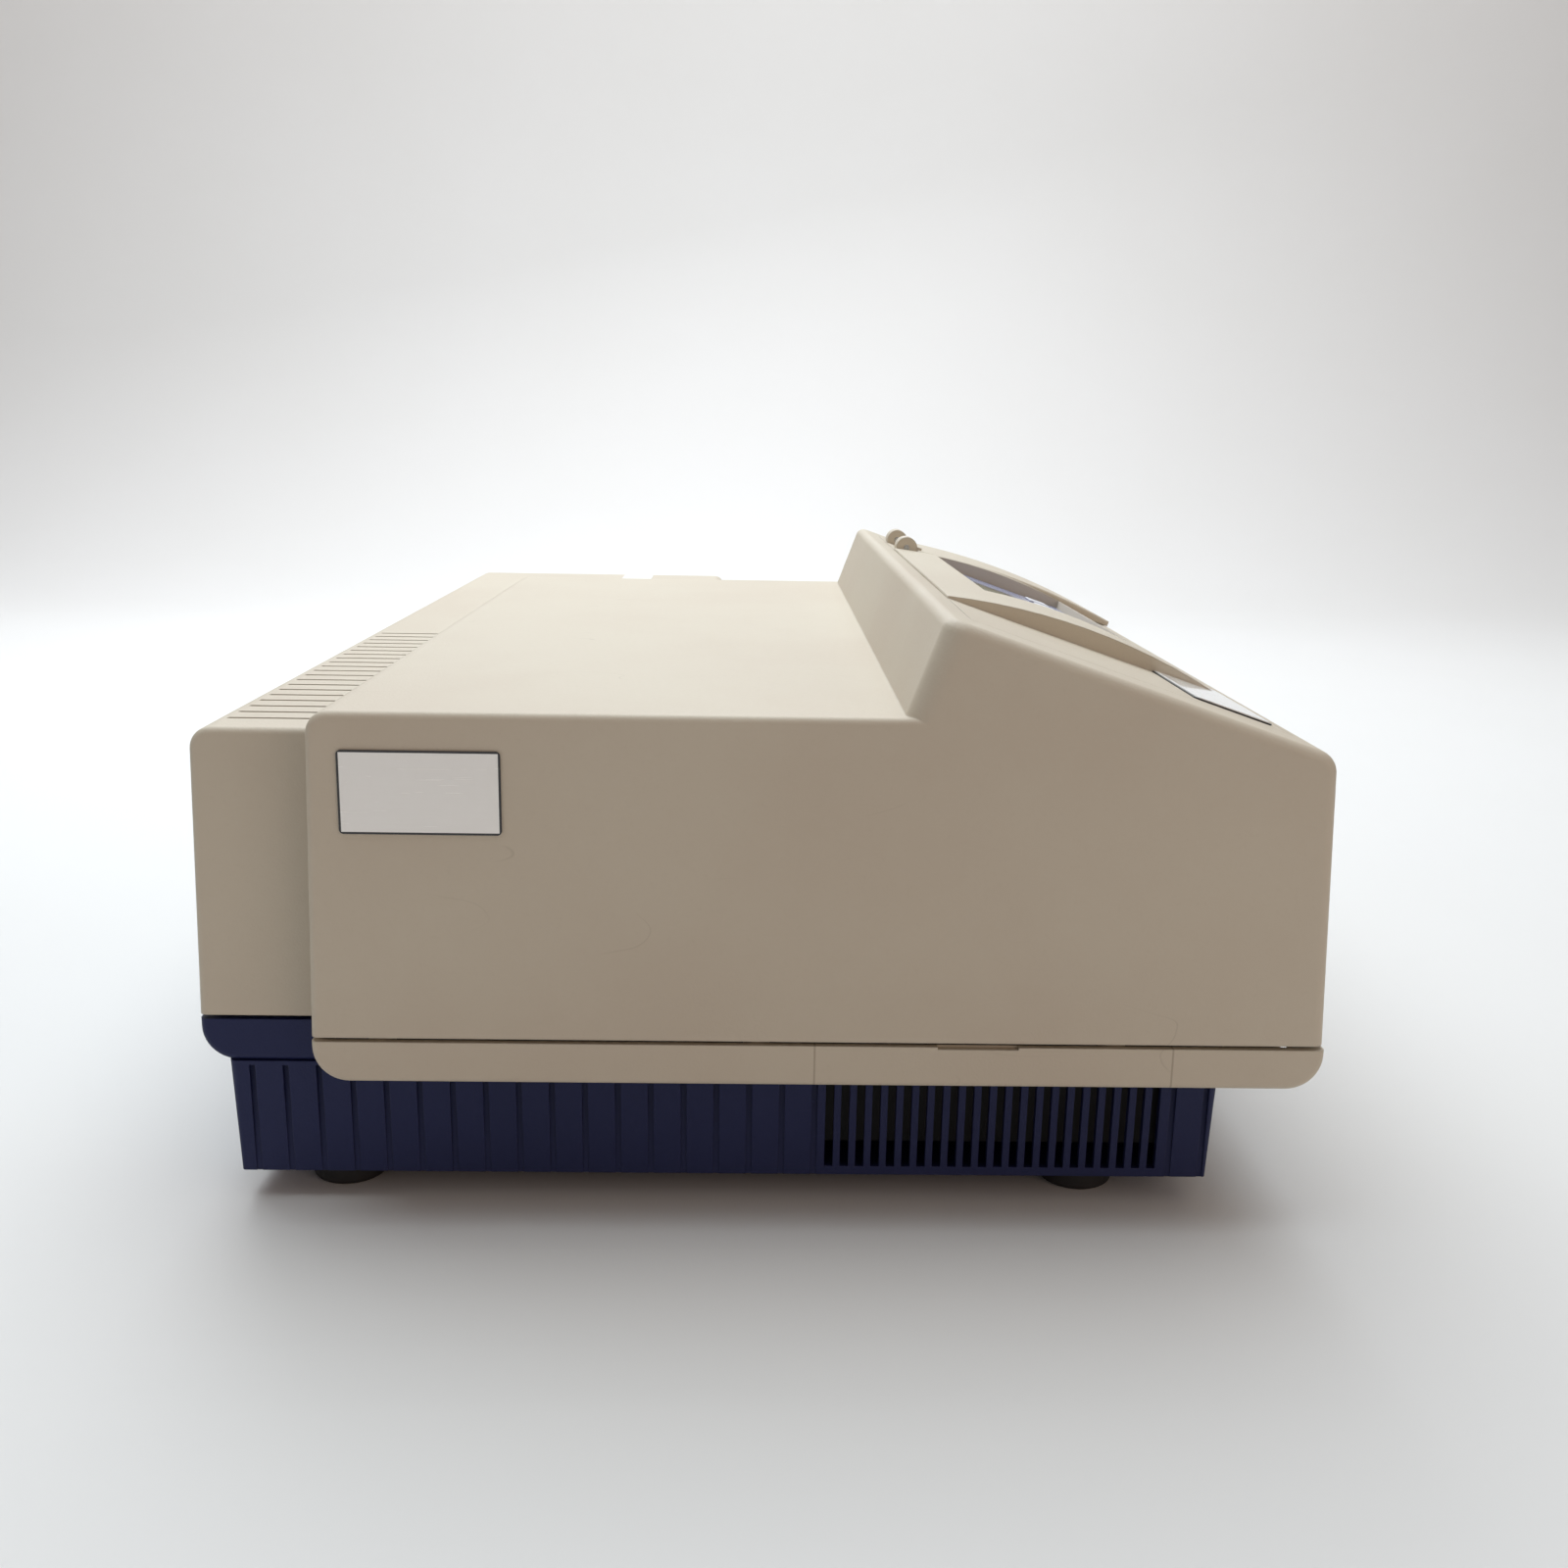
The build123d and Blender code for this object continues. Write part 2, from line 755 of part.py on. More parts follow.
def lower_trim():
    face = outline([(wing_rear_y, trim_bottom, trim_round), (wing_rear_y, trim_top, 0),
                    (front_y, trim_top, 0), (front_y, trim_bottom, trim_round)])
    body = along_x(face, (wing_left, wing_right))
    rims = [e for e in edges_at(body, wing_left) + edges_at(body, wing_right) if e.center().Z < trim_top - 0.1]
    body = fillet(rims, edge_round - 0.5)
    body -= block((wing_left + case_wall, wing_right - case_wall),
                  (front_y + case_wall, wing_rear_y - case_wall), (trim_bottom + case_wall, trim_top + 1))
    # room for the base, and for the right section behind the notch
    through = (trim_bottom - 1, trim_top + 1)
    body -= block((body_left - joint_gap, base_wing_right + joint_gap), (base_front_y - joint_gap, rear_y), through)
    body -= block((base_wing_right, wing_right + 1), (notch_front_y - joint_gap, rear_y), through)
    body -= centred(wing_left, grip_y, trim_top, 2 * grip_depth, grip_length, 2 * grip_height)
    for x, y in cover_screws:
        body += rod_along_z(x, y, (trim_bottom + case_wall / 2, cover_seat_z), boss_radius)
        body -= rod_along_z(x, y, (trim_bottom - 1, head_top_z), screw_head_radius + head_gap)
        body -= rod_along_z(x, y, (trim_bottom, cover_seat_z + 1), screw_shank_radius + shank_gap)
    return body


def rear_cover():
    lean = math.tan(math.radians(rear_draft))
    back_top = rear_y - (rear_top - cover_bottom) * lean
    strip = outline([(wing_rear_at(cover_bottom) + joint_gap, cover_bottom, 0),
                     (wing_rear_at(rear_top) + joint_gap, rear_top, 0),
                     (back_top, rear_top, top_round), (rear_y, cover_bottom, 0)])
    wide = outline([(notch_front_y, cover_bottom, 0), (notch_front_y + 1, rear_top, top_round - 1.5),
                    (back_top, rear_top, top_round), (rear_y, cover_bottom, 0)])
    left = along_x(strip, (body_left, wing_right + joint_gap))
    left = fillet([e for e in edges_at(left, body_left) if e.center().Z > cover_bottom + 1
                   and e.center().Y > wing_rear_y + 1], edge_round)
    right = along_x(wide, (wing_right + joint_gap, right_x))
    right = fillet([e for e in edges_at(right, right_x) if e.center().Z > cover_bottom + 1], edge_round)
    body = left + right

    inner_top = rear_top - case_wall
    inner_back = outline([(wing_rear_y - 20, 0, 0), (wing_rear_y - 20, inner_top, 0),
                          (back_top - case_wall, inner_top, top_round - case_wall),
                          (rear_y - case_wall + lean * cover_bottom, 0, 0)])
    body -= along_x(inner_back, (body_left + case_wall, right_x - case_wall))
    body -= block((wing_right - 1, right_x - case_wall), (notch_front_y + case_wall, wing_rear_y), (0, inner_top))
    # vent slots in the top strip
    for i in range(vent_count):
        x = vent_first_x + i * vent_pitch
        body -= block((x, x + vent_width), (wing_rear_y + vent_front_margin, vent_rear_y),
                      (rear_top - 2 * case_wall, rear_top + 1))
    # drawer opening
    body -= block((carrier_left - drawer_opening_margin, right_x - 2 * case_wall),
                  (notch_front_y - 1, notch_front_y + case_wall + 1),
                  (drawer_opening_low_z, drawer_opening_high_z))
    # flat land round the rear panel's cutout, on the inside of the rear wall
    land = block((panel_left_x, panel_right_x), (panel_face_y, rear_y - case_wall), (panel_low_z, panel_high_z))
    body += land
    body -= block((panel_left_x + panel_border, panel_right_x - panel_border), (panel_face_y - 1, rear_y + 1),
                  (panel_low_z + panel_border, panel_high_z - panel_border))
    return body


def base_plan(inset):
    left = body_left + inset
    wing = base_wing_right - inset
    right = right_x - inset
    return outline([(left, base_front_y + inset, 3), (wing, base_front_y + inset, 3),
                    (wing, base_notch_y + inset, 0), (right, base_notch_y + inset, 3),
                    (right, base_rear_y - inset, 3), (left, base_rear_y - inset, 3)])


def groove_cuts():
    """Upright grooves in both sides of the base, and the fine open slots in its left side."""
    cuts = []
    z = (foot_height - groove_foot, base_top - groove_head)
    sink = 0.5 * (base_top - foot_height) * math.tan(math.radians(base_draft)) + groove_depth

    def on_side(x, ys):
        return [block((x - sink, x + sink), (y - groove_width / 2, y + groove_width / 2), z) for y in ys]

    def steps(start, stop):
        count = int(abs(stop - start) / groove_pitch)
        sign = 1 if stop > start else -1
        return [start + sign * groove_pitch * (i + groove_start) for i in range(count)]

    slots_end_y = slot_first_y - slot_pitch * slot_count
    cuts += on_side(body_left, [y for y in steps(base_rear_y, base_front_y)
                                if y > slot_first_y + slot_width or y < slots_end_y])
    cuts += on_side(right_x, steps(base_notch_y, base_rear_y))
    for i in range(slot_count):
        y = slot_first_y - i * slot_pitch
        cuts.append(block((body_left - 1, body_left + 3 * case_wall), (y - slot_width, y),
                          (foot_height + case_wall + slot_sill, base_top - slot_head)))
    return Compound(children=cuts)


def base_pan():
    tub = up(base_plan(0), (base_top, foot_height), base_draft)
    lip_left = along_x(outline([(base_front_y, base_top, 0), (base_front_y, trim_top, 0), (rear_y, trim_top, 0),
                                (rear_y, base_top, base_lip_round)]), (body_left, base_wing_right))
    lip_right = along_x(outline([(notch_front_y, base_top, base_lip_round), (notch_front_y, trim_top, 0),
                                 (rear_y, trim_top, 0), (rear_y, base_top, base_lip_round)]),
                        (base_wing_right, right_x))
    lip = lip_left + lip_right
    corners = [e for e in lip.edges() if e.geom_type == GeomType.LINE and abs(e.center().Y - rear_y) < 0.001
               and e.length < trim_top - base_top]
    lip = fillet([e for e in corners if abs(e.center().X - base_wing_right) > 1], edge_round)
    body = tub + lip
    body -= up(base_plan(case_wall), (base_top + case_wall + 0.5, foot_height + case_wall), base_draft)
    low = base_top + case_wall
    high = trim_top + 1
    inner_round = base_lip_round - case_wall
    back = [(rear_y - case_wall, high, 0), (rear_y - case_wall, low, inner_round)]
    inner_left = outline([(base_front_y + case_wall, low, 0), (base_front_y + case_wall, high, 0)] + back)
    inner_right = outline([(notch_front_y + case_wall, low, inner_round), (notch_front_y + case_wall, high, 0)] + back)
    body -= along_x(inner_left, (body_left + case_wall, base_wing_right - case_wall))
    body -= along_x(inner_right, (base_wing_right - case_wall, right_x - case_wall))
    body -= groove_cuts()
    for x, y in chassis_screws:
        body += rod_along_z(x, y, (foot_height + 1, chassis_z), boss_radius)
        body -= rod_along_z(x, y, (foot_height + case_wall, chassis_z + 1), screw_shank_radius + thread_gap)
    return body


def feet():
    bodies = []
    for x, y in foot_places:
        foot = rod_along_z(x, y, (0, foot_height), foot_radius)
        foot = fillet(foot.edges().sort_by(Axis.Z)[0], foot_round)
        foot -= rod_along_z(x, y, (-1, foot_socket_depth), foot_socket_radius)
        bodies.append(foot)
    return all_of(bodies)


def tag_plate():
    plate = Box(tag_thick, tag_width, tag_height)
    plate = fillet(plate.edges().filter_by(Axis.X), tag_round)
    return Pos(left_x + tag_thick / 2, tag_centre_y, tag_centre_z) * plate


# Sloped control panel

def arc_face(left_v, left_w, crown_v, crown_w, right_v, right_w, bottom_w):
    """A face in (v, w) under one arc, closed down to bottom_w."""
    arc = ThreePointArc((left_v, left_w), (crown_v, crown_w), (right_v, right_w))
    sides = Polyline((left_v, left_w), (left_v, bottom_w), (right_v, bottom_w), (right_v, right_w))
    return make_face(arc.edges() + sides.edges())


def key_places():
    centre = (window_left_x + window_right_x) / 2
    return [centre + (i - (key_count - 1) / 2) * key_pitch for i in range(key_count)]


def display_x():
    return (window_left_x + window_right_x) / 2


def hinge_x(side):
    """Ear and knuckle stretches at one end of the lid, side -1 or 1."""
    end = lid_left_x if side < 0 else lid_right_x
    ear = sorted((end, end - side * ear_width))
    start = end - side * (ear_width + joint_gap)
    knuckle = sorted((start, start - side * knuckle_width))
    return ear, knuckle


def front_fascia():
    plate = block((fascia_left, fascia_right), (-fascia_length, 0), (-fascia_thick, 0))
    bulge_right_x = lid_left_x - joint_gap
    bulge = arc_face(0, bulge_step, -bulge_length / 2, bulge_step + bulge_rise, -bulge_length, bulge_step, -1)
    body = plate + along_x(bulge, (bulge_left_x, bulge_right_x))
    window = block((window_left_x, window_right_x), (window_bottom_v, window_top_v), (0, 20))
    body -= window
    hollow = arc_face(-lid_thick, bulge_step - 1, -bulge_length / 2, bulge_step + bulge_rise - lid_thick,
                      -bulge_length + lid_thick, bulge_step - 1, -fascia_thick - 1)
    body -= along_x(hollow, (bulge_left_x + lid_thick, window_left_x - bulge_solid))
    centre = display_x()
    body -= centred(centre, display_v, 0, display_width - 2 * display_rim, display_height - 2 * display_rim, 20)
    for x in key_places():
        body -= centred(x, key_v, 0, key_width + 2 * key_gap, key_height + 2 * key_gap, 20)
    for side in (-1, 1):
        ear, knuckle = hinge_x(side)
        body += rod_along_x(ear, hinge_v, hinge_w, knuckle_radius) & block(ear, (-20, -0.3), (-fascia_thick, 20))
        room = (min(knuckle) - joint_gap, max(knuckle) + joint_gap)
        body -= rod_along_x(room, hinge_v, hinge_w, knuckle_radius + joint_gap)
        body -= rod_along_x((min(ear), max(ear)), hinge_v, hinge_w, hinge_pin_radius)
    posts = grid((window_left_x - post_left_inset, window_right_x - post_right_inset),
                 (window_top_v + post_v_inset, window_bottom_v - post_v_inset))
    for x, v in posts:
        body += rod_along_z(x, v, (-board_drop, -1), post_radius)
    body = deck_frame * body
    hole = chimney_size + 2 * joint_gap
    return body - centred(cuvette_x, cuvette_y, chamber_top_z, hole, hole, 60)


def overlay():
    sheet = block((window_left_x + joint_gap, window_right_x - joint_gap),
                  (window_bottom_v + joint_gap, window_top_v - joint_gap), (0, overlay_thick))
    centre = display_x()
    sheet -= centred(centre, display_v, 0, display_width, display_height, 5)
    for x in key_places():
        sheet -= centred(x, key_v, 0, key_width + 2 * key_gap, key_height + 2 * key_gap, 5)
    return deck_frame * sheet


def display_window():
    centre = display_x()
    return deck_frame * centred(centre, display_v, overlay_thick / 2, display_width, display_height, overlay_thick)


def key(x):
    low = -board_drop + switch_stem
    body = centred(x, key_v, (low + overlay_thick + key_proud) / 2, key_width, key_height,
                   overlay_thick + key_proud - low)
    body = fillet(body.edges().group_by(Axis.Z)[-1], key_round)
    return deck_frame * body


def display_board():
    """Circuit board with the display and one switch under each key."""
    centre = display_x()
    board = block((window_left_x - board_left_margin, window_right_x + board_right_margin),
                  (window_bottom_v - board_v_margin, window_top_v + board_v_margin),
                  (-board_drop - board_thick, -board_drop))
    board += centred(centre, display_v, -(board_drop + fascia_thick) / 2, display_width, display_height,
                     board_drop - fascia_thick)
    half = switch_size / 2
    switch_top = -board_drop + switch_stem - key_travel - switch_gap
    for x in key_places():
        board += block((x - half, x + half), (key_v - half, key_v + half), (-board_drop, switch_top))
    return deck_frame * board


def cuvette_lid():
    crown_v = (lid_top_v + lid_bottom_v) / 2
    outer = arc_face(lid_top_v, lid_top_w, crown_v, lid_crown_w, lid_bottom_v, lid_bottom_w, lid_lift)
    inner = arc_face(lid_top_v - lid_thick, lid_top_w - lid_thick + 0.3, crown_v, lid_crown_w - lid_thick,
                     lid_bottom_v + lid_thick, lid_bottom_w - lid_thick + 0.3, lid_lift - 1)
    body = along_x(outer, (lid_left_x, lid_right_x))
    rims = edges_at(body, lid_left_x) + edges_at(body, lid_right_x)
    body = fillet([e for e in rims if e.length > case_wall and e.geom_type != GeomType.LINE], 1.2)
    body -= along_x(inner, (lid_left_x + lid_thick, lid_right_x - lid_thick))
    for side in (-1, 1):
        _, knuckle = hinge_x(side)
        barrel = rod_along_x(knuckle, hinge_v, hinge_w, knuckle_radius)
        arm = block(knuckle, (lid_top_v - lid_thick, hinge_v), (lid_lift, hinge_w + 2))
        body += barrel + arm
        body -= rod_along_x(knuckle, hinge_v, hinge_w, hinge_pin_radius + pin_clear)
    return deck_frame * body


def lid_pins():
    pins = []
    for side in (-1, 1):
        ear, knuckle = hinge_x(side)
        stretch = (min(ear + knuckle), max(ear + knuckle))
        pins.append(deck_frame * rod_along_x(stretch, hinge_v, hinge_w, hinge_pin_radius))
    return all_of(pins)


def cuvette_chamber():
    """Cell holder on a pillar, with a square chimney that comes up through the slope under the lid."""
    half = chamber_size / 2
    low = cuvette_floor_z - chamber_floor
    foot_z = chassis_top + pillar_foot_thick / 2
    body = centred(cuvette_x, cuvette_y, (low + chamber_top_z) / 2, chamber_size, chamber_size, chamber_top_z - low)
    body += centred(cuvette_x, cuvette_y, chamber_top_z, chimney_size, chimney_size, 60)
    body += centred(cuvette_x, cuvette_y, (chassis_top + low) / 2, pillar_size, pillar_size, low - chassis_top)
    body += centred(cuvette_x, cuvette_y, foot_z, pillar_foot_size, pillar_foot_size, pillar_foot_thick)
    body -= deck_frame * block((left_x, right_x), (front_y, rear_y), (chimney_proud, 80))
    body -= centred(cuvette_x, cuvette_y, cuvette_floor_z + 50, cuvette_size, cuvette_size, 100)
    body -= rod_along_y(cuvette_x, (cuvette_y, cuvette_y + half + 1), cuvette_floor_z + beam_above_floor,
                        fibre_radius + fibre_gap)
    return body


# Plate drawer

def plate_carrier():
    body = block((carrier_left, carrier_right), (carrier_front_y, carrier_rear_y), (carrier_bottom_z, carrier_top))
    body = fillet(body.edges().filter_by(Axis.Z), carrier_round)
    pocket = centred(plate_x, plate_y, carrier_top, plate_width + plate_gap, plate_length + plate_gap,
                     2 * (carrier_thick - carrier_floor))
    body -= pocket
    body -= centred(plate_x, plate_y, carrier_bottom_z, plate_width - 2 * carrier_ledge,
                    plate_length - 2 * carrier_ledge, 4 * carrier_floor)
    # finger reliefs at the long sides
    for side in (-1, 1):
        body -= centred(plate_x + side * plate_width / 2, plate_y, carrier_top, relief_width, relief_length,
                        2 * (carrier_thick - carrier_floor))
    clip_x, clip_y = clip_pivot()
    body += rod_along_z(clip_x, clip_y, (carrier_top - 1, carrier_top + clip_post_height), clip_post_radius)
    return body


def clip_pivot():
    return plate_x - plate_width / 4, plate_y + plate_length / 2 + clip_back


def plate_clip():
    """Finger that turns on the carrier's post and holds the plate's rear edge."""
    x, y = clip_pivot()
    z = (carrier_top + joint_gap, carrier_top + joint_gap + clip_thick)
    tip_y = plate_y + plate_length / 2 + plate_gap + clip_tip_gap
    tip_x = x + clip_arm_length
    body = rod_along_z(x, y, z, clip_boss_radius)
    body += block((x, tip_x), (y - clip_arm_width / 2, y + clip_arm_width / 2), z)
    body += block((tip_x - clip_arm_width, tip_x), (tip_y, y), z)
    return body - rod_along_z(x, y, (z[0] - 1, z[1] + 1), clip_post_radius + pin_clear)


def drawer_front():
    low = drawer_opening_low_z - drawer_face_margin
    high = drawer_opening_high_z + drawer_face_margin
    right = right_x - drawer_face_margin
    body = block((carrier_left - drawer_face_margin, right), (drawer_face_y, drawer_face_y + drawer_front_thick),
                 (low, high))
    body = fillet(body.edges().filter_by(Axis.Y), carrier_round)
    front = body.faces().sort_by(Axis.Y)[0]
    return fillet(front.edges(), carrier_round / 2)


def drawer_rail():
    z = carrier_bottom_z + carrier_thick / 2
    return block((carrier_right, carrier_right + rail_height), (notch_front_y + 2 * case_wall, carrier_rear_y),
                 (z - rail_width / 2, z + rail_width / 2))


def rail_block_y():
    start = notch_front_y + case_wall + 1.5
    return start, start + rail_block_length


def rail_block():
    z = carrier_bottom_z + carrier_thick / 2
    outer_x = carrier_right + rail_height + rail_block_cover
    body = block((carrier_right + 1, outer_x), rail_block_y(), (z - rail_block_width / 2, z + rail_block_width / 2))
    return body - block((carrier_right, carrier_right + rail_height + rail_gap), (0, 100),
                        (z - rail_width / 2 - rail_gap, z + rail_width / 2 + rail_gap))


def rail_bracket():
    """Upright for the rail block, with the idler's pin on an arm and a foot on the chassis."""
    z = carrier_bottom_z + carrier_thick / 2
    inner_x = carrier_right + rail_height + rail_block_cover
    back_y = rail_block_y()[1]
    low = belt_z - bracket_drop
    foot_y = (base_notch_y + chassis_margin + 1, back_y)
    body = block((inner_x, inner_x + bracket_thick), rail_block_y(), (low, z + rail_block_width / 2))
    body += block((inner_x, inner_x + bracket_thick), foot_y, (chassis_top, low))
    body += block((inner_x - bracket_foot, inner_x), foot_y, (chassis_top, chassis_top + bracket_thick))
    arm_left = belt_right_x + flange_thick + 1.0
    body += block((arm_left, inner_x), (idler_y - idler_arm / 2, idler_y + idler_arm / 2),
                  (belt_z - idler_arm / 2, belt_z + idler_arm / 2))
    pin = (belt_left_x - flange_thick, arm_left)
    return body + rod_along_x(pin, idler_y, belt_z, pulley_shaft_radius)


def drive_belt():
    return obround(belt_outer) - obround(belt_radius)


def obround(radius):
    x = (belt_left_x, belt_right_x)
    return (block(x, (idler_y, motor_pulley_y), (belt_z - radius, belt_z + radius))
            + rod_along_x(x, idler_y, belt_z, radius) + rod_along_x(x, motor_pulley_y, belt_z, radius))


def pulley(y):
    x = (belt_left_x - flange_gap, belt_right_x + flange_gap)
    body = rod_along_x(x, y, belt_z, pulley_radius)
    body += rod_along_x((x[0] - flange_thick, x[0]), y, belt_z, flange_radius)
    body += rod_along_x((x[1], x[1] + flange_thick), y, belt_z, flange_radius)
    return body


def idler_pulley():
    body = pulley(idler_y)
    return body - rod_along_x((belt_left_x - 5, belt_right_x + 5), idler_y, belt_z, pulley_shaft_radius + shaft_clear)


def drawer_motor_face():
    return belt_left_x - motor_shaft_gap


def motor_pulley():
    """Pulley fixed on the motor's shaft."""
    shaft = rod_along_x((drawer_motor_face() - shaft_reach, belt_right_x + 1), motor_pulley_y, belt_z,
                        pulley_shaft_radius)
    return pulley(motor_pulley_y) + shaft


def motor_body(length, size):
    """A square stepper motor, shaft side up, its face at z = 0."""
    body = centred(0, 0, -length / 2, size, size, length)
    body = chamfer(body.edges().filter_by(Axis.Z), motor_chamfer)
    body += Pos(0, 0, motor_boss_height / 2) * Cylinder(motor_boss_radius, motor_boss_height)
    inside = size - 2 * motor_groove
    for gap in (length * 0.25, length * 0.75):
        band = centred(0, 0, -gap, size + 1, size + 1, 2 * motor_groove)
        body -= band - centred(0, 0, -gap, inside, inside, 2)
    return body


def drawer_motor():
    """Motor on a bridge bracket that stands on the chassis."""
    face = drawer_motor_face()
    body = motor_body(motor_length, drawer_motor_size)
    body = Pos(face - motor_boss_height, motor_pulley_y, belt_z) * Rot(0, 90, 0) * body
    body -= rod_along_x((face - shaft_hole, face + 1), motor_pulley_y, belt_z, pulley_shaft_radius + shaft_clear)
    x = (face - motor_boss_height - motor_length + 2, face - motor_boss_height - 2)
    y = (motor_pulley_y - drawer_motor_size / 2, motor_pulley_y)
    under = belt_z - drawer_motor_size / 2
    bridge = block(x, y, (under - bracket_thick, under))
    bridge += block((x[0], x[0] + bracket_thick), y, (chassis_top, under))
    bridge += block((x[1] - bracket_thick, x[1]), y, (chassis_top, under))
    return all_of([body, bridge])


def belt_clamp():
    """Block under the carrier's rear end, over the belt's upper run."""
    x = (belt_left_x + clamp_side, belt_right_x - clamp_side)
    y = motor_pulley_y
    low = belt_z + belt_outer + clamp_gap
    return block(x, (y - clamp_length / 2, y + clamp_length / 2), (low, carrier_bottom_z))


# Read head

def row_places():
    return [plate_x + (i - (well_rows - 1) / 2) * well_pitch for i in range(well_rows)]


def head_y():
    return head_home_y - head_length / 2, head_home_y + head_length / 2


def head_arm():
    y = head_y()
    body = block((spine_left_x, spine_right_x), y, (lower_arm_low_z, upper_arm_high_z))
    body = chamfer(body.edges().filter_by(Axis.Y).sort_by(Axis.X)[:2], spine_chamfer)
    upper = block((spine_right_x, arm_right_x), y, (upper_arm_low_z, upper_arm_high_z))
    lower = block((spine_right_x, arm_right_x), y, (lower_arm_low_z, lower_arm_high_z))
    body += chamfer(upper.edges().filter_by(Axis.Y).sort_by(Axis.X)[-1], upper_chamfer)
    body += chamfer(lower.edges().filter_by(Axis.Y).sort_by(Axis.X)[-2:], lower_chamfer)
    for z in (rod_low_z, rod_high_z):
        body -= rod_along_y(rod_x, (y[0] - 1, y[1] + 1), z, rod_radius + bush_wall)
    body -= rod_along_y(rod_x, (y[0] - 1, y[1] + 1), screw_z, screw_radius + nut_wall)
    for x in row_places():
        body -= rod_along_z(x, head_home_y, (upper_arm_low_z - 1, upper_arm_low_z + lens_depth), lens_radius)
    return body


def lens_row():
    z = (upper_arm_low_z - lens_proud, upper_arm_low_z + lens_depth)
    return all_of([rod_along_z(x, head_home_y, z, lens_radius) for x in row_places()])


def detector_row():
    low = lower_arm_high_z
    top = low + board_thick
    body = block((row_places()[0] - detector_board_side, row_places()[-1] + detector_board_end),
                 (head_home_y - detector_board_half, head_home_y + detector_board_half), (low, top))
    for x in row_places():
        body += rod_along_z(x, head_home_y, (top, top + detector_height), detector_radius)
    return body


def head_bushes():
    """Plain bushes on the rods and the nut on the lead screw."""
    y = head_y()
    rings = []
    for z in (rod_low_z, rod_high_z):
        ring = rod_along_y(rod_x, y, z, rod_radius + bush_wall)
        rings.append(ring - rod_along_y(rod_x, (y[0] - 1, y[1] + 1), z, rod_radius + shaft_clear))
    nut = rod_along_y(rod_x, y, screw_z, screw_radius + nut_wall)
    nut -= rod_along_y(rod_x, (y[0] - 1, y[1] + 1), screw_z, screw_radius + shaft_clear)
    return all_of(rings + [nut])


def head_frame():
    x = (rod_x - end_plate_half_width, rod_x + end_plate_half_width)
    top = rod_high_z + end_plate_over_rod
    plates = [(head_frame_front - end_plate_thick, head_frame_front),
              (head_frame_rear, head_frame_rear + end_plate_thick)]
    body = block(x, (plates[0][0], plates[1][1]), (chassis_top, chassis_top + frame_floor_thick))
    for y in plates:
        body += block(x, y, (chassis_top, top))
    for z in (rod_low_z, rod_high_z):
        body -= rod_along_y(rod_x, (plates[0][0] - 1, plates[1][1] + 1), z, rod_radius)
    body -= rod_along_y(rod_x, (plates[0][0] - 1, plates[1][1] + 1), screw_z, screw_radius + shaft_clear)
    return body


def guide_rods():
    y = (head_frame_front - end_plate_thick, head_frame_rear + end_plate_thick)
    return all_of([rod_along_y(rod_x, y, z, rod_radius) for z in (rod_low_z, rod_high_z)])


def head_motor_face():
    return head_frame_front - end_plate_thick


def lead_screw():
    """Plain rod with a flat inside the motor. It runs in both end plates."""
    y = (head_motor_face() - shaft_reach, head_frame_rear + end_plate_thick - screw_end_gap)
    body = rod_along_y(rod_x, y, screw_z, screw_radius)
    flat = block((rod_x + screw_radius - screw_flat, rod_x + screw_radius + 1), (y[0] - 1, y[0] + shaft_reach / 2),
                 (screw_z - screw_radius, screw_z + screw_radius))
    return body - flat


def head_motor():
    body = motor_body(motor_length, motor_size)
    face = head_motor_face()
    body = Pos(rod_x, face - motor_boss_height, screw_z) * Rot(-90, 0, 0) * body
    return body - rod_along_y(rod_x, (face - shaft_hole, face + 1), screw_z, screw_radius + shaft_clear)


# Chassis

def chassis_plate():
    """Folded plate that carries everything inside, with an upturned edge behind the base's slots."""
    body = up(base_plan(chassis_margin), (chassis_z, chassis_top))
    edge_x = body_left + chassis_margin
    slots_end_y = slot_first_y - slot_pitch * slot_count
    body += block((edge_x, edge_x + chassis_thick), (slots_end_y - baffle_margin, slot_first_y + baffle_margin),
                  (chassis_z, baffle_top_z))
    for x, y in chassis_screws:
        body -= rod_along_z(x, y, (chassis_z - 1, chassis_top + 1), screw_shank_radius + shank_gap)
    for x, y in board_posts():
        body += rod_along_z(x, y, (chassis_top, board_z), board_post_radius)
    return body


def screws():
    bodies = []
    for x, y in chassis_screws:
        shank = rod_along_z(x, y, (foot_height + case_wall + 1, chassis_top), screw_shank_radius)
        bodies.append(shank + rod_along_z(x, y, (chassis_top, chassis_top + screw_head_height), screw_head_radius))
    for x, y in cover_screws:
        shank = rod_along_z(x, y, (head_top_z, cover_bottom + screw_reach), screw_shank_radius)
        bodies.append(shank + rod_along_z(x, y, (head_top_z - screw_head_height, head_top_z), screw_head_radius))
    return all_of(bodies)


# Electronics

def board_posts():
    return grid((board_x[0] + board_inset, board_x[1] - board_inset),
                (board_y[0] + board_inset, sum(board_y) / 2, board_y[1] - board_inset))


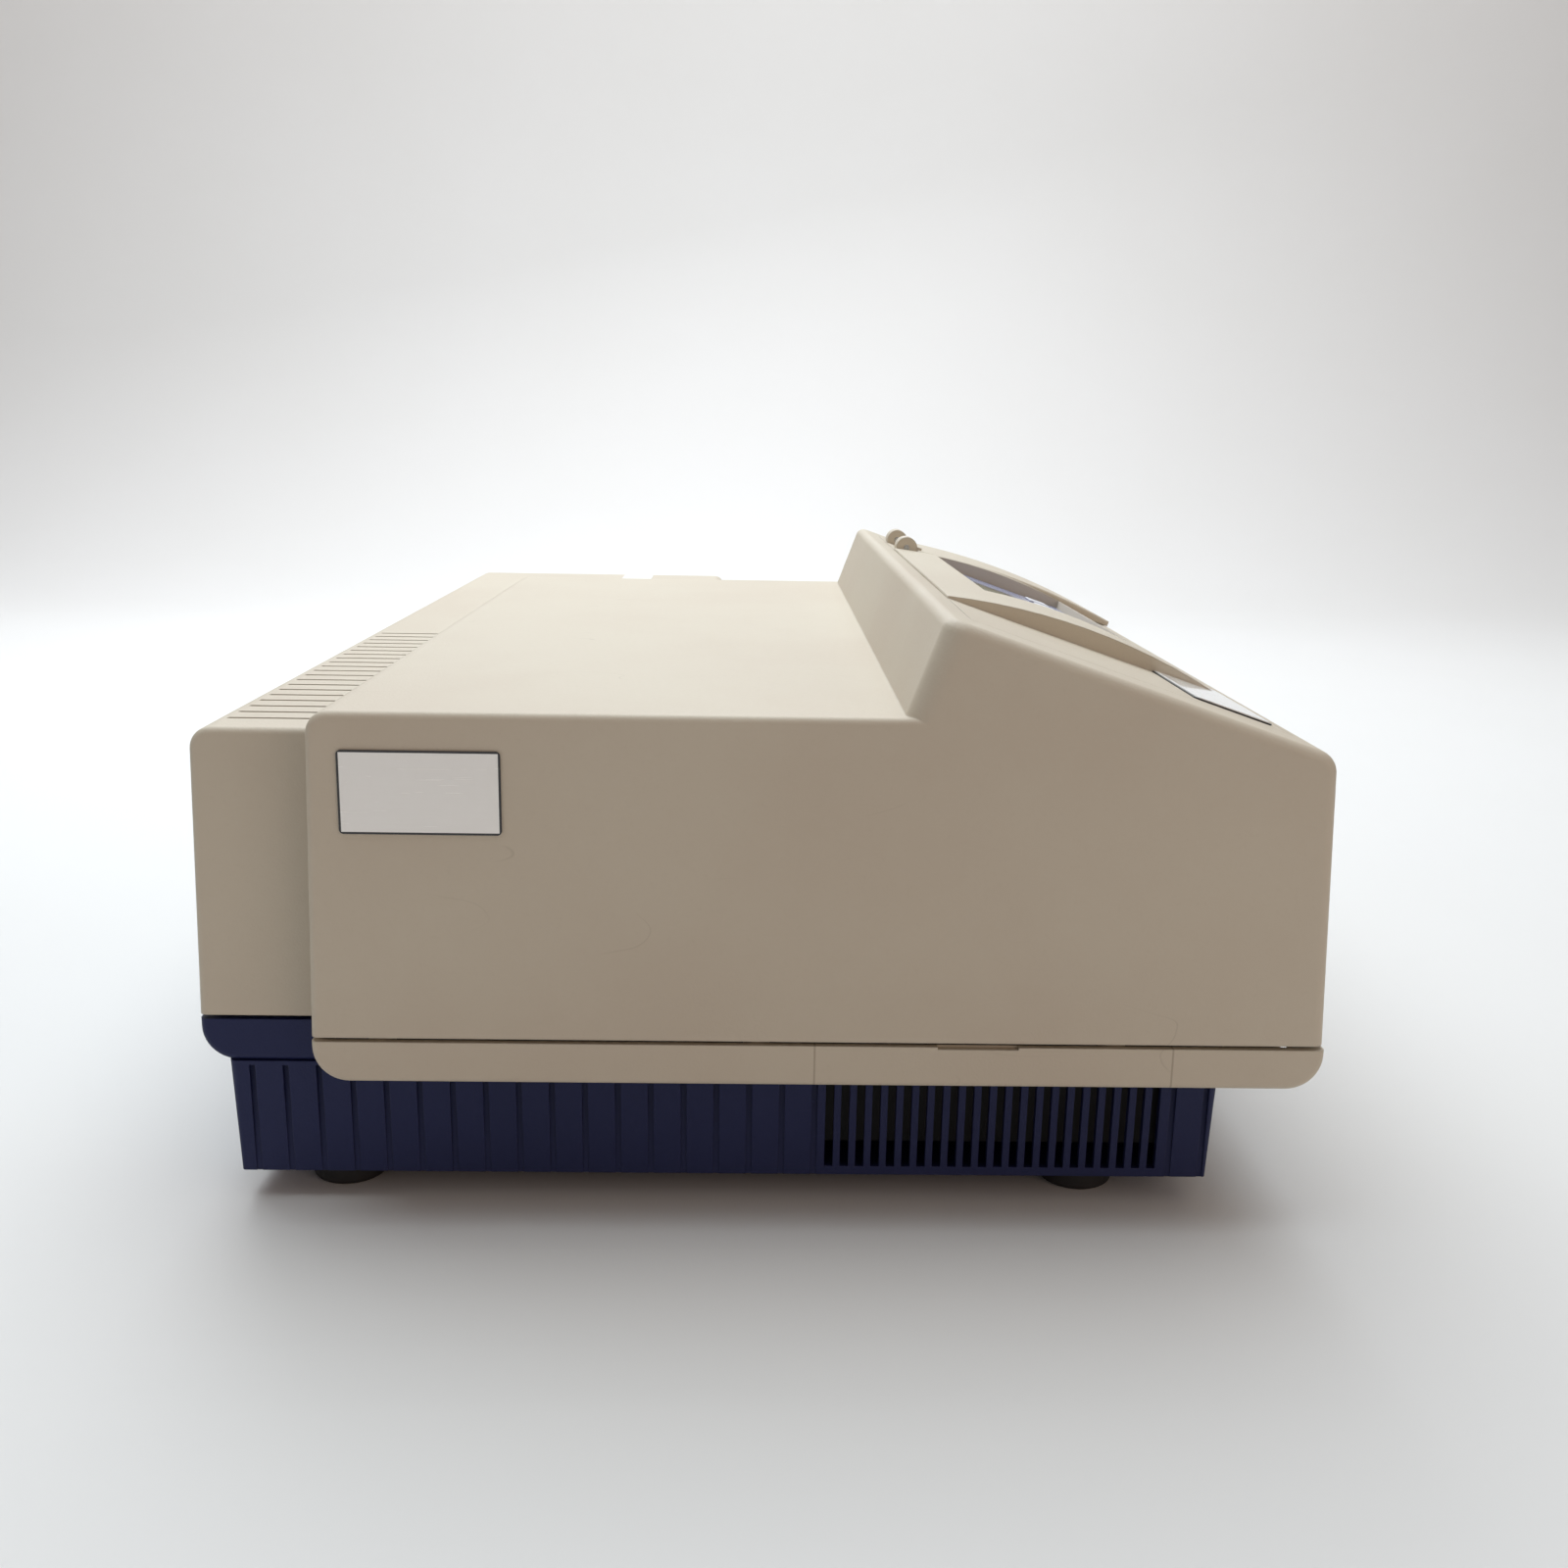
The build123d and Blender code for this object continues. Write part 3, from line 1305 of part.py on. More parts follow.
def main_board():
    """Board on six posts; each part on it is (x, y, width, length, height) from the board's corner."""
    top = board_z + board_thick
    left, front = board_x[0], board_y[0]
    body = block(board_x, board_y, (board_z, top))
    chips = [(23, 32, 28, 28, 3), (63, 32, 20, 20, 3), (98, 32, 14, 22, 3), (23, 82, 14, 30, 3),
             (48, 82, 14, 30, 3), (78, 82, 26, 12, 4), (23, 127, 18, 18, 12), (53, 127, 12, 20, 6),
             (88, 122, 34, 9, 10), (108, 72, 9, 42, 10)]
    for x, y, dx, dy, height in chips:
        body += centred(left + x, front + y, top + height / 2, dx, dy, height)
    for i in range(4):
        body += rod_along_z(left + 13 + i * 12, front + 150, (top, top + 14), 4.5)
    return body


def power_supply():
    """Folded sheet box with vent slots, its board and the parts on it."""
    x, y, top, sheet = supply_x, supply_y, supply_top_z, supply_sheet
    box = block(x, y, (chassis_top, top))
    box -= block((x[0] + sheet, x[1] - sheet), (y[0] + sheet, y[1] - sheet), (0, top - sheet))
    for i in range(supply_vent_count):
        vent_y = y[0] + supply_vent_margin + i * supply_vent_pitch
        box -= block((x[0] + supply_vent_margin, x[1] - supply_vent_margin), (vent_y, vent_y + supply_vent_width),
                     (top - 2 * sheet, top + 1))
    board_low = chassis_top + supply_board_lift
    board = block((x[0] + 4, x[1] - 4), (y[0] + 4, y[1] - 4), (board_low, board_low + board_thick))
    for px, py in grid((x[0] + 8, x[1] - 8), (y[0] + 8, y[1] - 8)):
        board += rod_along_z(px, py, (chassis_top, board_low), 2.5)
    part_low = board_low + board_thick
    board += block((x[0] + 14, x[0] + 46), (y[0] + 50, y[0] + 86), (part_low, part_low + 28))
    board += rod_along_z(x[1] - 22, y[0] + 26, (part_low, part_low + 34), 11)
    board += rod_along_z(x[1] - 20, y[0] + 72, (part_low, part_low + 25), 8)
    board += block((x[0] + 12, x[0] + 16), (y[0] + 10, y[0] + 44), (part_low, part_low + 30))
    return all_of([box, board])


# Optical bench

def bench_inner():
    return ((bench_left_x + bench_wall, bench_right_x - bench_wall),
            (bench_front_y + bench_wall, bench_rear_y - bench_wall))


def fibre_exit_y():
    return bench_rear_y - fibre_exit_inset


def monochromator():
    x, y = bench_inner()
    body = block((bench_left_x, bench_right_x), (bench_front_y, bench_rear_y), (bench_low_z, bench_high_z))
    body = fillet(body.edges().filter_by(Axis.Z), bench_corner)
    body -= block(x, y, (bench_low_z + bench_wall, bench_high_z + 1))
    body -= rod_along_x((bench_left_x - 1, x[0] + 1), beam_y, beam_z, beam_radius)
    body -= rod_along_x((x[1] - 1, bench_right_x + 1), fibre_exit_y(), beam_z, fibre_radius + fibre_gap)
    for px, py in grid((bench_left_x + bench_leg_inset, bench_right_x - bench_leg_inset),
                       (bench_front_y + bench_leg_inset, bench_rear_y - bench_leg_inset)):
        body += rod_along_z(px, py, (chassis_top, bench_low_z), bench_leg_radius)
    body -= rod_along_z(grating_x, grating_y, (bench_low_z + 1, bench_high_z), grating_shaft_radius + pin_clear)
    # partition with a slit
    body += block((partition_x, partition_x + partition_thick), y, (bench_low_z + bench_wall, bench_high_z))
    body -= centred(partition_x, beam_y, beam_z, 4 * partition_thick, slit_width, slit_height)
    return body


def monochromator_cover():
    low = bench_high_z
    body = block((bench_left_x, bench_right_x), (bench_front_y, bench_rear_y), (low, low + bench_cover_thick))
    top = low + bench_cover_thick
    inset = cover_screw_inset
    body = fillet(body.edges().filter_by(Axis.Z), bench_corner)
    body -= rod_along_z(grating_x, grating_y, (low - 1, top + 1), 2 * grating_shaft_radius)
    for px, py in grid((bench_left_x + inset, bench_right_x - inset), (bench_front_y + inset, bench_rear_y - inset)):
        body += rod_along_z(px, py, (top, top + cover_screw_height), screw_head_radius)
    return body


def grating():
    floor_z = bench_low_z + grating_seat
    shaft_top = bench_high_z + bench_cover_thick + grating_shaft_rise
    body = rod_along_z(grating_x, grating_y, (floor_z, shaft_top), grating_shaft_radius)
    body += centred(grating_x, grating_y, beam_z, grating_thick, grating_size, grating_size)
    body += rod_along_z(grating_x, grating_y, (bench_low_z + bench_wall + joint_gap, beam_z - grating_size / 2),
                        grating_hub_radius)
    return body


def grating_motor():
    """Motor that stands shaft down on the bench's cover."""
    low = bench_high_z + bench_cover_thick
    body = motor_body(motor_length, motor_size) - centred(0, 0, 5, motor_size, motor_size, 10)
    body = Pos(grating_x, grating_y, low) * Rot(180, 0, 0) * body
    return body - rod_along_z(grating_x, grating_y, (low - 1, low + grating_shaft_rise + 2),
                              grating_shaft_radius + pin_clear)


def mirrors():
    """Two round mirrors, each on a block on the bench's floor."""
    bodies = []
    x = bench_right_x - mirror_side
    block_z = bench_low_z + bench_wall + mirror_block_height / 2
    for y in (bench_front_y + mirror_inset, bench_rear_y - mirror_inset):
        base = centred(x, y, block_z, mirror_block_width, mirror_block_length, mirror_block_height)
        disc = rod_along_x((x - mirror_thick / 2, x + mirror_thick / 2), y, beam_z, mirror_radius)
        bodies.append(base + disc)
    return all_of(bodies)


def wheel_y():
    return beam_y - filter_circle


def wheel_x():
    left = bench_left_x + bench_wall + wheel_gap
    return left, left + wheel_thick


def filter_wheel():
    x = wheel_x()
    body = rod_along_x(x, wheel_y(), beam_z, wheel_radius)
    for i in range(filter_count):
        angle = 2 * math.pi * i / filter_count
        cy, cz = wheel_y() + filter_circle * math.cos(angle), beam_z + filter_circle * math.sin(angle)
        body -= rod_along_x((x[0] + filter_seat, x[1] + 1), cy, cz, filter_radius)
        body -= rod_along_x((x[0] - 1, x[1] + 1), cy, cz, filter_radius - filter_lip)
    body += rod_along_x((x[1], x[1] + wheel_hub_height), wheel_y(), beam_z, wheel_hub_radius)
    return body + rod_along_x((x[1], x[1] + wheel_shaft_length), wheel_y(), beam_z, wheel_shaft_radius)


def filter_motor():
    """Round motor on a block on the bench's floor."""
    face = wheel_x()[1] + filter_motor_gap
    middle = face + filter_motor_length / 2
    low = bench_low_z + bench_wall
    top = beam_z - filter_motor_radius / 2
    body = rod_along_x((face, face + filter_motor_length), wheel_y(), beam_z, filter_motor_radius)
    body += centred(middle, wheel_y(), (low + top) / 2, filter_motor_length - 6, 1.5 * filter_motor_radius, top - low)
    shaft_end = wheel_x()[1] + wheel_shaft_length
    return body - rod_along_x((face - 1, shaft_end + 1), wheel_y(), beam_z, wheel_shaft_radius + pin_clear)


def lamp_x():
    return bench_left_x - lamp_gap - lamp_length, bench_left_x - lamp_gap


def lamp_housing():
    """Finned lamp house, open to the bench."""
    x = lamp_x()
    y = (beam_y - lamp_half_width, beam_y + lamp_half_width)
    top = beam_z + lamp_over_beam
    wall = lamp_wall
    body = block(x, y, (chassis_top, top))
    body -= block((x[0] + wall, x[1] - wall), (y[0] + wall, y[1] - wall), (chassis_top + lamp_floor, top - wall))
    body -= rod_along_x((x[1] - wall - 1, x[1] + 1), beam_y, beam_z, beam_radius)
    for i in range(fin_count):
        fin_y = y[0] + wall + i * fin_pitch
        body += block((x[0] + fin_thick, x[1] - fin_thick), (fin_y, fin_y + fin_thick), (top - 1, top + fin_height))
    return body


def flash_lamp():
    x = lamp_x()
    centre = (x[0] + x[1]) / 2
    base_top_z = beam_z - bulb_base_drop
    body = rod_along_z(centre, beam_y, (chassis_top + lamp_floor, base_top_z), lamp_base_radius)
    body += rod_along_z(centre, beam_y, (base_top_z, beam_z + bulb_rise), bulb_radius)
    return body + Pos(centre, beam_y, beam_z + bulb_rise) * Sphere(bulb_radius)


def fibre_bundle():
    """Light guide from the bench to the cuvette chamber, held at both ends."""
    light_z = cuvette_floor_z + beam_above_floor
    chamber_rear = cuvette_y + chamber_size / 2
    points = [(bench_right_x - bench_wall, fibre_exit_y(), beam_z), (bench_right_x + 30, fibre_exit_y(), beam_z),
              (bench_right_x + 44, fibre_exit_y() - 46, beam_z + 16),
              (bench_right_x + 36, fibre_exit_y() - 80, beam_z + 52),
              (cuvette_x, cuvette_y + 73, light_z), (cuvette_x, chamber_rear - fibre_seat, light_z)]
    points = [Vector(*p) for p in points]
    radii = []
    for before, here, after in zip(points, points[1:], points[2:]):
        turn = math.radians((here - before).get_angle(after - here))
        radii.append(0.45 * min((here - before).length, (after - here).length) / math.tan(turn / 2))
    path = FilletPolyline(*points, radius=radii)
    start = Plane(origin=points[0], z_dir=points[1] - points[0])
    return sweep(start * Circle(fibre_radius), path=path)


# Rear panel and what is on it

def rear_panel():
    inner = panel_face_y - panel_thick
    body = block((panel_left_x, panel_right_x), (inner, panel_face_y), (panel_low_z, panel_high_z))
    body -= rod_along_y(fan_x, (inner - 1, panel_face_y + 1), fan_z, fan_bore)
    through = (inner - 1, panel_face_y + 1)
    body -= rectangle_along_y(inlet_x, socket_z, inlet_cut, through)
    body -= rectangle_along_y(switch_x, socket_z, switch_cut, through)
    for rise, half in port_rows:
        body -= rectangle_along_y(ports_x, panel_low_z + rise, (2 * half, port_cut_height), through)
    return body


def rectangle_along_y(x, z, size, y):
    """A plain bar along Y, its (width, height) centred on (x, z)."""
    return centred(x, (y[0] + y[1]) / 2, z, size[0], y[1] - y[0], size[1])


def data_ports():
    """Two D-shaped sockets, each with a flange, two rows of pin holes and a hex nut's round at each end."""
    bodies = []
    high = port_shell_half
    face = panel_face_y + 1
    end = panel_face_y + port_shell_length
    for rise, half in port_rows:
        z = panel_low_z + rise
        body = rectangle_along_y(ports_x, z, (2 * (half + port_ear), port_flange_height), (panel_face_y, face))
        body = fillet(body.edges().filter_by(Axis.Y), 2)
        shell = outline([(-half + 1.6, -high, 1.5), (half - 1.6, -high, 1.5), (half, high, 1.5), (-half, high, 1.5)])
        body += Pos(ports_x, 0, z) * along_y(shell, (face, end))
        body += rectangle_along_y(ports_x, z, (2 * half - 2, 2 * high), (panel_face_y - port_body_depth, panel_face_y))
        pins = int(2 * (half - 2) / port_pin_pitch)
        for row, lift in ((pins, high / 3), (pins - 1, -high / 3)):
            for i in range(row):
                px = ports_x + (i - (row - 1) / 2) * port_pin_pitch
                body -= rod_along_y(px, (face + 1, end + 1), z + lift, port_pin_radius)
        for side in (-1, 1):
            body += rod_along_y(ports_x + side * (half + port_ear / 2), (face, end - 0.5), z, port_nut_radius)
        bodies.append(body)
    return all_of(bodies)


def power_inlet():
    """Three-pin inlet with a flange, its socket open to the rear."""
    face = panel_face_y + inlet_flange_thick
    body = rectangle_along_y(inlet_x, socket_z, inlet_flange, (panel_face_y, face))
    body = fillet(body.edges().filter_by(Axis.Y), 4)
    body += rectangle_along_y(inlet_x, socket_z, inlet_body, (panel_face_y - inlet_body_depth, panel_face_y))
    half, tall, corner = socket_width / 2, socket_height / 2, socket_corner
    hole = outline([(-half, -tall, 2), (half, -tall, 2), (half, tall - corner, 1), (half - corner, tall, 1),
                    (-half + corner, tall, 1), (-half, tall - corner, 1)])
    body -= Pos(inlet_x, 0, socket_z) * along_y(hole, (face - socket_depth, face + 1))
    for dx, dz in ((-7, -1.5), (7, -1.5), (0, 2.5)):
        body += centred(inlet_x + dx, face - socket_depth + 4.5, socket_z + dz, 2, 11, 4)
    for side in (-1, 1):
        body += rod_along_y(inlet_x + side * 20, (face, face + 1.2), socket_z, 3)
    return body


def switch_housing():
    face = panel_face_y + switch_flange_thick
    body = rectangle_along_y(switch_x, socket_z, switch_flange, (panel_face_y, face))
    body += rectangle_along_y(switch_x, socket_z, switch_body, (panel_face_y - switch_body_depth, panel_face_y))
    body -= rectangle_along_y(switch_x, socket_z, switch_well, (panel_face_y - switch_well_depth, face + 1))
    pin = (switch_x - switch_body[0] / 2 + 0.5, switch_x + switch_body[0] / 2 - 0.5)
    return body + rod_along_x(pin, rocker_pivot_y(), socket_z, rocker_pin_radius)


def rocker_pivot_y():
    return panel_face_y - rocker_pin_depth


def power_rocker():
    """Rocker, drawn level and then tilted to its off position."""
    half = rocker_half
    face = outline([(-4.0, -half, 0.8), (5.0, -half, 0.8), (4.0, 0, 0), (5.0, half, 0.8), (-4.0, half, 0.8),
                    (-6.0, 0, 0)])
    body = along_x(face, (switch_x - rocker_width / 2, switch_x + rocker_width / 2))
    body -= rod_along_x((switch_x - rocker_width, switch_x + rocker_width), 0, 0, rocker_pin_radius + pin_clear)
    return Pos(0, rocker_pivot_y(), socket_z) * Rot(rocker_tilt, 0, 0) * body


def fan_frame():
    inner = panel_face_y - panel_thick
    y = (inner - fan_depth, inner)
    half = fan_size / 2
    body = block((fan_x - half, fan_x + half), y, (fan_z - half, fan_z + half))
    body = fillet(body.edges().filter_by(Axis.Y), 4)
    body -= rod_along_y(fan_x, (y[0] - 1, y[1] + 1), fan_z, fan_bore)
    back = (y[0], y[0] + fan_spoke_thick)
    body += rod_along_y(fan_x, back, fan_z, fan_hub_plate)
    spoke = block((0, fan_bore + 1), back, (-fan_spoke_width / 2, fan_spoke_width / 2))
    for angle in (45, 135, 225, 315):
        body += Pos(fan_x, 0, fan_z) * Rot(0, angle, 0) * spoke
    return body + rod_along_y(fan_x, (y[0], y[0] + fan_axle_length), fan_z, fan_axle_radius)


def fan_rotor():
    y0 = panel_face_y - panel_thick - fan_depth + fan_hub_lift
    body = rod_along_y(0, (y0, y0 + fan_hub_height), 0, fan_hub_radius)
    blade = Box(blade_length, blade_thick, blade_width)
    blade = Pos(blade_middle, y0 + fan_hub_height / 2, 0) * Rot(blade_angle, 0, 0) * blade
    for i in range(fan_blades):
        body += Rot(0, i * 360 / fan_blades, 0) * blade
    body -= rod_along_y(0, (y0 - 1, y0 + fan_axle_length - 1), 0, fan_axle_radius + pin_clear)
    return Pos(fan_x, 0, fan_z) * body


def fan_guard():
    y = (panel_face_y, panel_face_y + guard_wire)
    spoke = block((-guard_spoke_half, guard_spoke_half), y, (-guard_spoke / 2, guard_spoke / 2))
    body = Pos(fan_x, 0, fan_z) * Rot(0, 45, 0) * spoke + Pos(fan_x, 0, fan_z) * Rot(0, 135, 0) * spoke
    for radius in guard_rings:
        ring = rod_along_y(fan_x, y, fan_z, radius)
        body += ring - rod_along_y(fan_x, (y[0] - 1, y[1] + 1), fan_z, radius - guard_wire)
    for angle in (45, 135, 225, 315):
        px = fan_x + guard_screw_circle * math.cos(math.radians(angle))
        pz = fan_z + guard_screw_circle * math.sin(math.radians(angle))
        body += rod_along_y(px, (y[0], y[1] + 1), pz, guard_screw_radius)
    return body


def parts():
    nodes = {
        "base_pan": base_pan(), "feet": feet(), "lower_trim": lower_trim(), "wing_cover": wing_cover(),
        "rear_cover": rear_cover(), "tag_plate": tag_plate(), "front_fascia": front_fascia(),
        "overlay": overlay(), "display_window": display_window(), "display_board": display_board(),
        "cuvette_lid": cuvette_lid(), "lid_pins": lid_pins(), "cuvette_chamber": cuvette_chamber(),
        "chassis_plate": chassis_plate(), "screws": screws(), "main_board": main_board(),
        "power_supply": power_supply(), "plate_carrier": plate_carrier(), "plate_clip": plate_clip(),
        "drawer_front": drawer_front(), "drawer_rail": drawer_rail(), "rail_block": rail_block(),
        "rail_bracket": rail_bracket(), "drive_belt": drive_belt(), "idler_pulley": idler_pulley(),
        "motor_pulley": motor_pulley(), "drawer_motor": drawer_motor(), "belt_clamp": belt_clamp(),
        "head_arm": head_arm(), "lens_row": lens_row(), "detector_row": detector_row(),
        "head_bushes": head_bushes(), "head_frame": head_frame(), "guide_rods": guide_rods(),
        "lead_screw": lead_screw(), "head_motor": head_motor(), "monochromator": monochromator(),
        "monochromator_cover": monochromator_cover(), "grating": grating(), "grating_motor": grating_motor(),
        "mirrors": mirrors(), "filter_wheel": filter_wheel(), "filter_motor": filter_motor(),
        "lamp_housing": lamp_housing(), "flash_lamp": flash_lamp(), "fibre_bundle": fibre_bundle(),
        "rear_panel": rear_panel(), "data_ports": data_ports(), "power_inlet": power_inlet(),
        "switch_housing": switch_housing(), "power_rocker": power_rocker(), "fan_frame": fan_frame(),
        "fan_rotor": fan_rotor(), "fan_guard": fan_guard(),
    }
    for i, x in enumerate(key_places()):
        nodes[f"key_{i + 1}"] = key(x)
    return nodes


os.makedirs("parts", exist_ok=True)
for name, shape in parts().items():
    export_step(shape, f"parts/{name}.step")
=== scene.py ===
import math

import bmesh
import bpy
from mathutils import Matrix, Vector


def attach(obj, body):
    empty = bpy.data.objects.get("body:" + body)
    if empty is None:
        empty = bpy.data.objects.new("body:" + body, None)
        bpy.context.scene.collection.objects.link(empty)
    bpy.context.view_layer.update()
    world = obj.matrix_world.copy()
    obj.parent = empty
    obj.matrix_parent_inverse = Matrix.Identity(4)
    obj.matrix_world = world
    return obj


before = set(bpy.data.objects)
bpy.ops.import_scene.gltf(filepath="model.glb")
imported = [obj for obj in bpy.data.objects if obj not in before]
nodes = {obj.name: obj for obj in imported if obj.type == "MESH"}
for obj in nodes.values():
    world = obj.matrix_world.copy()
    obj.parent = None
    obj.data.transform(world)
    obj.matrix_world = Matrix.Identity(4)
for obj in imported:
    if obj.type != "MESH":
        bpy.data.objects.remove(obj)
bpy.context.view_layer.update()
print("frame loaded,", len(nodes), "nodes")

mm = 0.001
# the fascia's rear edge on the sloped deck, in mm, and the deck's fall to the front, in degrees
deck = {"origin": (0, -68.8, 206.794), "angle": 18.8}
slopeAngle = math.radians(deck["angle"])
slopeOrigin = Vector([value * mm for value in deck["origin"]])
slopeMatrix = Matrix.Translation(slopeOrigin) @ Matrix.Rotation(slopeAngle, 4, "X")


# helpers for colours and nodes; every length in a look is in real mm

def linearColour(hexText):
    parts = [int(hexText[i:i + 2], 16) / 255 for i in (1, 3, 5)]
    return [c / 12.92 if c <= 0.04045 else ((c + 0.055) / 1.055) ** 2.4 for c in parts] + [1.0]


def addNode(tree, kind, links=None, **settings):
    made = tree.nodes.new(kind)
    for name, value in settings.items():
        setattr(made, name, value)
    for socket, value in (links or {}).items():
        target = made.inputs[socket]
        if isinstance(value, bpy.types.NodeSocket):
            tree.links.new(value, target)
        elif isinstance(value, str):
            target.default_value = linearColour(value)
        else:
            target.default_value = value
    return made


def startMaterial(name):
    material = bpy.data.materials.new(name)
    material.use_nodes = True
    tree = material.node_tree
    tree.nodes.clear()
    shader = addNode(tree, "ShaderNodeBsdfPrincipled")
    addNode(tree, "ShaderNodeOutputMaterial", {"Surface": shader.outputs["BSDF"]})
    place = addNode(tree, "ShaderNodeTexCoord").outputs["Object"]
    return material, tree, shader, place


def feed(tree, shader, colour, roughness, normal=None):
    # the sockets that a texture drives
    tree.links.new(colour, shader.inputs["Base Color"])
    tree.links.new(roughness, shader.inputs["Roughness"])
    if normal is not None:
        tree.links.new(normal, shader.inputs["Normal"])


def setSockets(shader, values):
    # the sockets that are the same all over the surface
    for socket, value in values.items():
        shader.inputs[socket].default_value = value


def math2(tree, operation, a, b=0.0, clamp=False):
    return addNode(tree, "ShaderNodeMath", {0: a, 1: b}, operation=operation, use_clamp=clamp).outputs[0]


def times(tree, a, b):
    return math2(tree, "MULTIPLY", a, b)


def minus(tree, a, b):
    return math2(tree, "SUBTRACT", a, b)


def addShare(tree, start, value, share):
    # start plus a share of value
    return math2(tree, "ADD", start, times(tree, value, share))


def smoothStep(tree, value, low, high):
    # 0 at low and before it, 1 at high and past it
    made = addNode(tree, "ShaderNodeMapRange", {"Value": value, "From Min": low, "From Max": high},
                   interpolation_type="SMOOTHSTEP")
    return made.outputs["Result"]


def noise(tree, place, sizeMm, detail=2.0, roughness=0.5, stretch=None):
    if stretch:
        place = addNode(tree, "ShaderNodeMapping", {"Vector": place, "Scale": stretch}).outputs[0]
    made = addNode(tree, "ShaderNodeTexNoise",
                   {"Vector": place, "Scale": 1 / (sizeMm * mm), "Detail": detail, "Roughness": roughness})
    return made.outputs["Fac"]


def patches(tree, place, sizeMm, limits, detail=2.0, roughness=0.5):
    # soft-edged spots: a noise cut between two levels
    return smoothStep(tree, noise(tree, place, sizeMm, detail, roughness), *limits)


def mixColour(tree, factor, a, b):
    made = addNode(tree, "ShaderNodeMix", {"Factor": factor}, data_type="RGBA")
    for index, value in ((6, a), (7, b)):    # the node's two colour inputs
        if isinstance(value, str):
            made.inputs[index].default_value = linearColour(value)
        else:
            tree.links.new(value, made.inputs[index])
    return made.outputs[2]


def roundedNormal(tree, radiusMm):
    # softens hard edges in the shading, as a mould or a deburring tool leaves them
    return addNode(tree, "ShaderNodeBevel", {"Radius": radiusMm * mm}, samples=4).outputs[0]


def bumpNormal(tree, height, strength, riseMm, normal=None):
    links = {"Height": height, "Strength": strength, "Distance": riseMm * mm}
    if normal is not None:
        links["Normal"] = normal
    return addNode(tree, "ShaderNodeBump", links).outputs[0]


def distance(tree, value, centre):
    return math2(tree, "ABSOLUTE", minus(tree, value, centre))


def boxMask(tree, across, along, halfMm, softMm):
    # 1 inside a rectangle given by its half sizes, 0 outside
    sides = [smoothStep(tree, math2(tree, "ABSOLUTE", value), (half + softMm) * mm, half * mm)
             for value, half in zip((across, along), halfMm)]
    return times(tree, *sides)


def cellMask(tree, value, pitchMm, limits):
    # 1 in the middle of each repeat, 0 at its borders; the limits are shares of the pitch
    pitch = pitchMm * mm
    inRepeat = distance(tree, math2(tree, "FLOORED_MODULO", value, pitch), pitch / 2)
    return smoothStep(tree, inRepeat, pitch * limits[0], pitch * limits[1])


def slopePlace(tree, place):
    # object coordinates turned into the sloped panel's own: across, up the slope, out of it
    moved = addNode(tree, "ShaderNodeVectorMath", {0: place, 1: tuple(slopeOrigin)}, operation="SUBTRACT")
    turned = addNode(tree, "ShaderNodeVectorRotate", {"Vector": moved.outputs[0], "Angle": -slopeAngle},
                     rotation_type="X_AXIS")
    return addNode(tree, "ShaderNodeSeparateXYZ", {0: turned.outputs[0]}).outputs


# case mouldings

def mouldedAbs(name, look):
    # ABS moulded in a spark-eroded tool: a fine even grain that keeps highlights broad and soft
    material, tree, shader, place = startMaterial(name)
    mottle = patches(tree, place, look["mottleMm"], look["mottleCut"], 4, 0.55)
    colour = mixColour(tree, mottle, look["colour"], look["aged"])
    fleck = noise(tree, place, look["grainMm"] * look["fleckGrains"], 2)
    spots = times(tree, smoothStep(tree, fleck, *look["fleckCut"]), look["fleckShare"])
    colour = mixColour(tree, spots, colour, look["fleck"])
    # worn corners: where the rounded normal leaves the true one
    rounded = roundedNormal(tree, look["edgeMm"])
    trueNormal = addNode(tree, "ShaderNodeNewGeometry").outputs["Normal"]
    bend = addNode(tree, "ShaderNodeVectorMath", {0: rounded, 1: trueNormal}, operation="DOT_PRODUCT")
    wear = smoothStep(tree, bend.outputs["Value"], *look["wearCut"])
    rubbed = patches(tree, place, look["wearMm"], look["wearPatchCut"], 3)
    wear = times(tree, wear, times(tree, rubbed, look["wear"]))
    colour = mixColour(tree, wear, colour, look["worn"])
    # hairline scratches: thin level lines of a slow noise, kept only in a few patches
    swirl = noise(tree, place, look["scratchMm"], 1.5, 0.4, look["scratchStretch"])
    line = smoothStep(tree, distance(tree, swirl, look["scratchLevel"]), *look["scratchWidth"])
    few = patches(tree, place, look["scratchPatchMm"], look["scratchPatchCut"], 1)
    scratch = times(tree, times(tree, line, few), look["scratches"])
    colour = mixColour(tree, scratch, colour, look["scratch"])
    # mould lines across the trim, given by their places along the depth
    if look["lines"]:
        along = addNode(tree, "ShaderNodeSeparateXYZ", {0: place}).outputs["Y"]
        for at in look["lines"]:
            mouldLine = smoothStep(tree, distance(tree, along, at * mm), *[w * mm for w in look["lineMm"]])
            colour = mixColour(tree, mouldLine, colour, look["line"])
    grain = noise(tree, place, look["grainMm"], 2, 0.6)
    height = minus(tree, grain, times(tree, scratch, look["scratchDepth"]))
    normal = bumpNormal(tree, height, look["grainDepth"], look["riseMm"], rounded)
    rough = addShare(tree, look["roughness"], fleck, look["fleckRough"])
    rough = minus(tree, rough, times(tree, wear, look["wearShine"]))
    feed(tree, shader, colour, rough, normal)
    setSockets(shader, {"IOR": 1.54, "Specular IOR Level": look["specular"]})
    return material


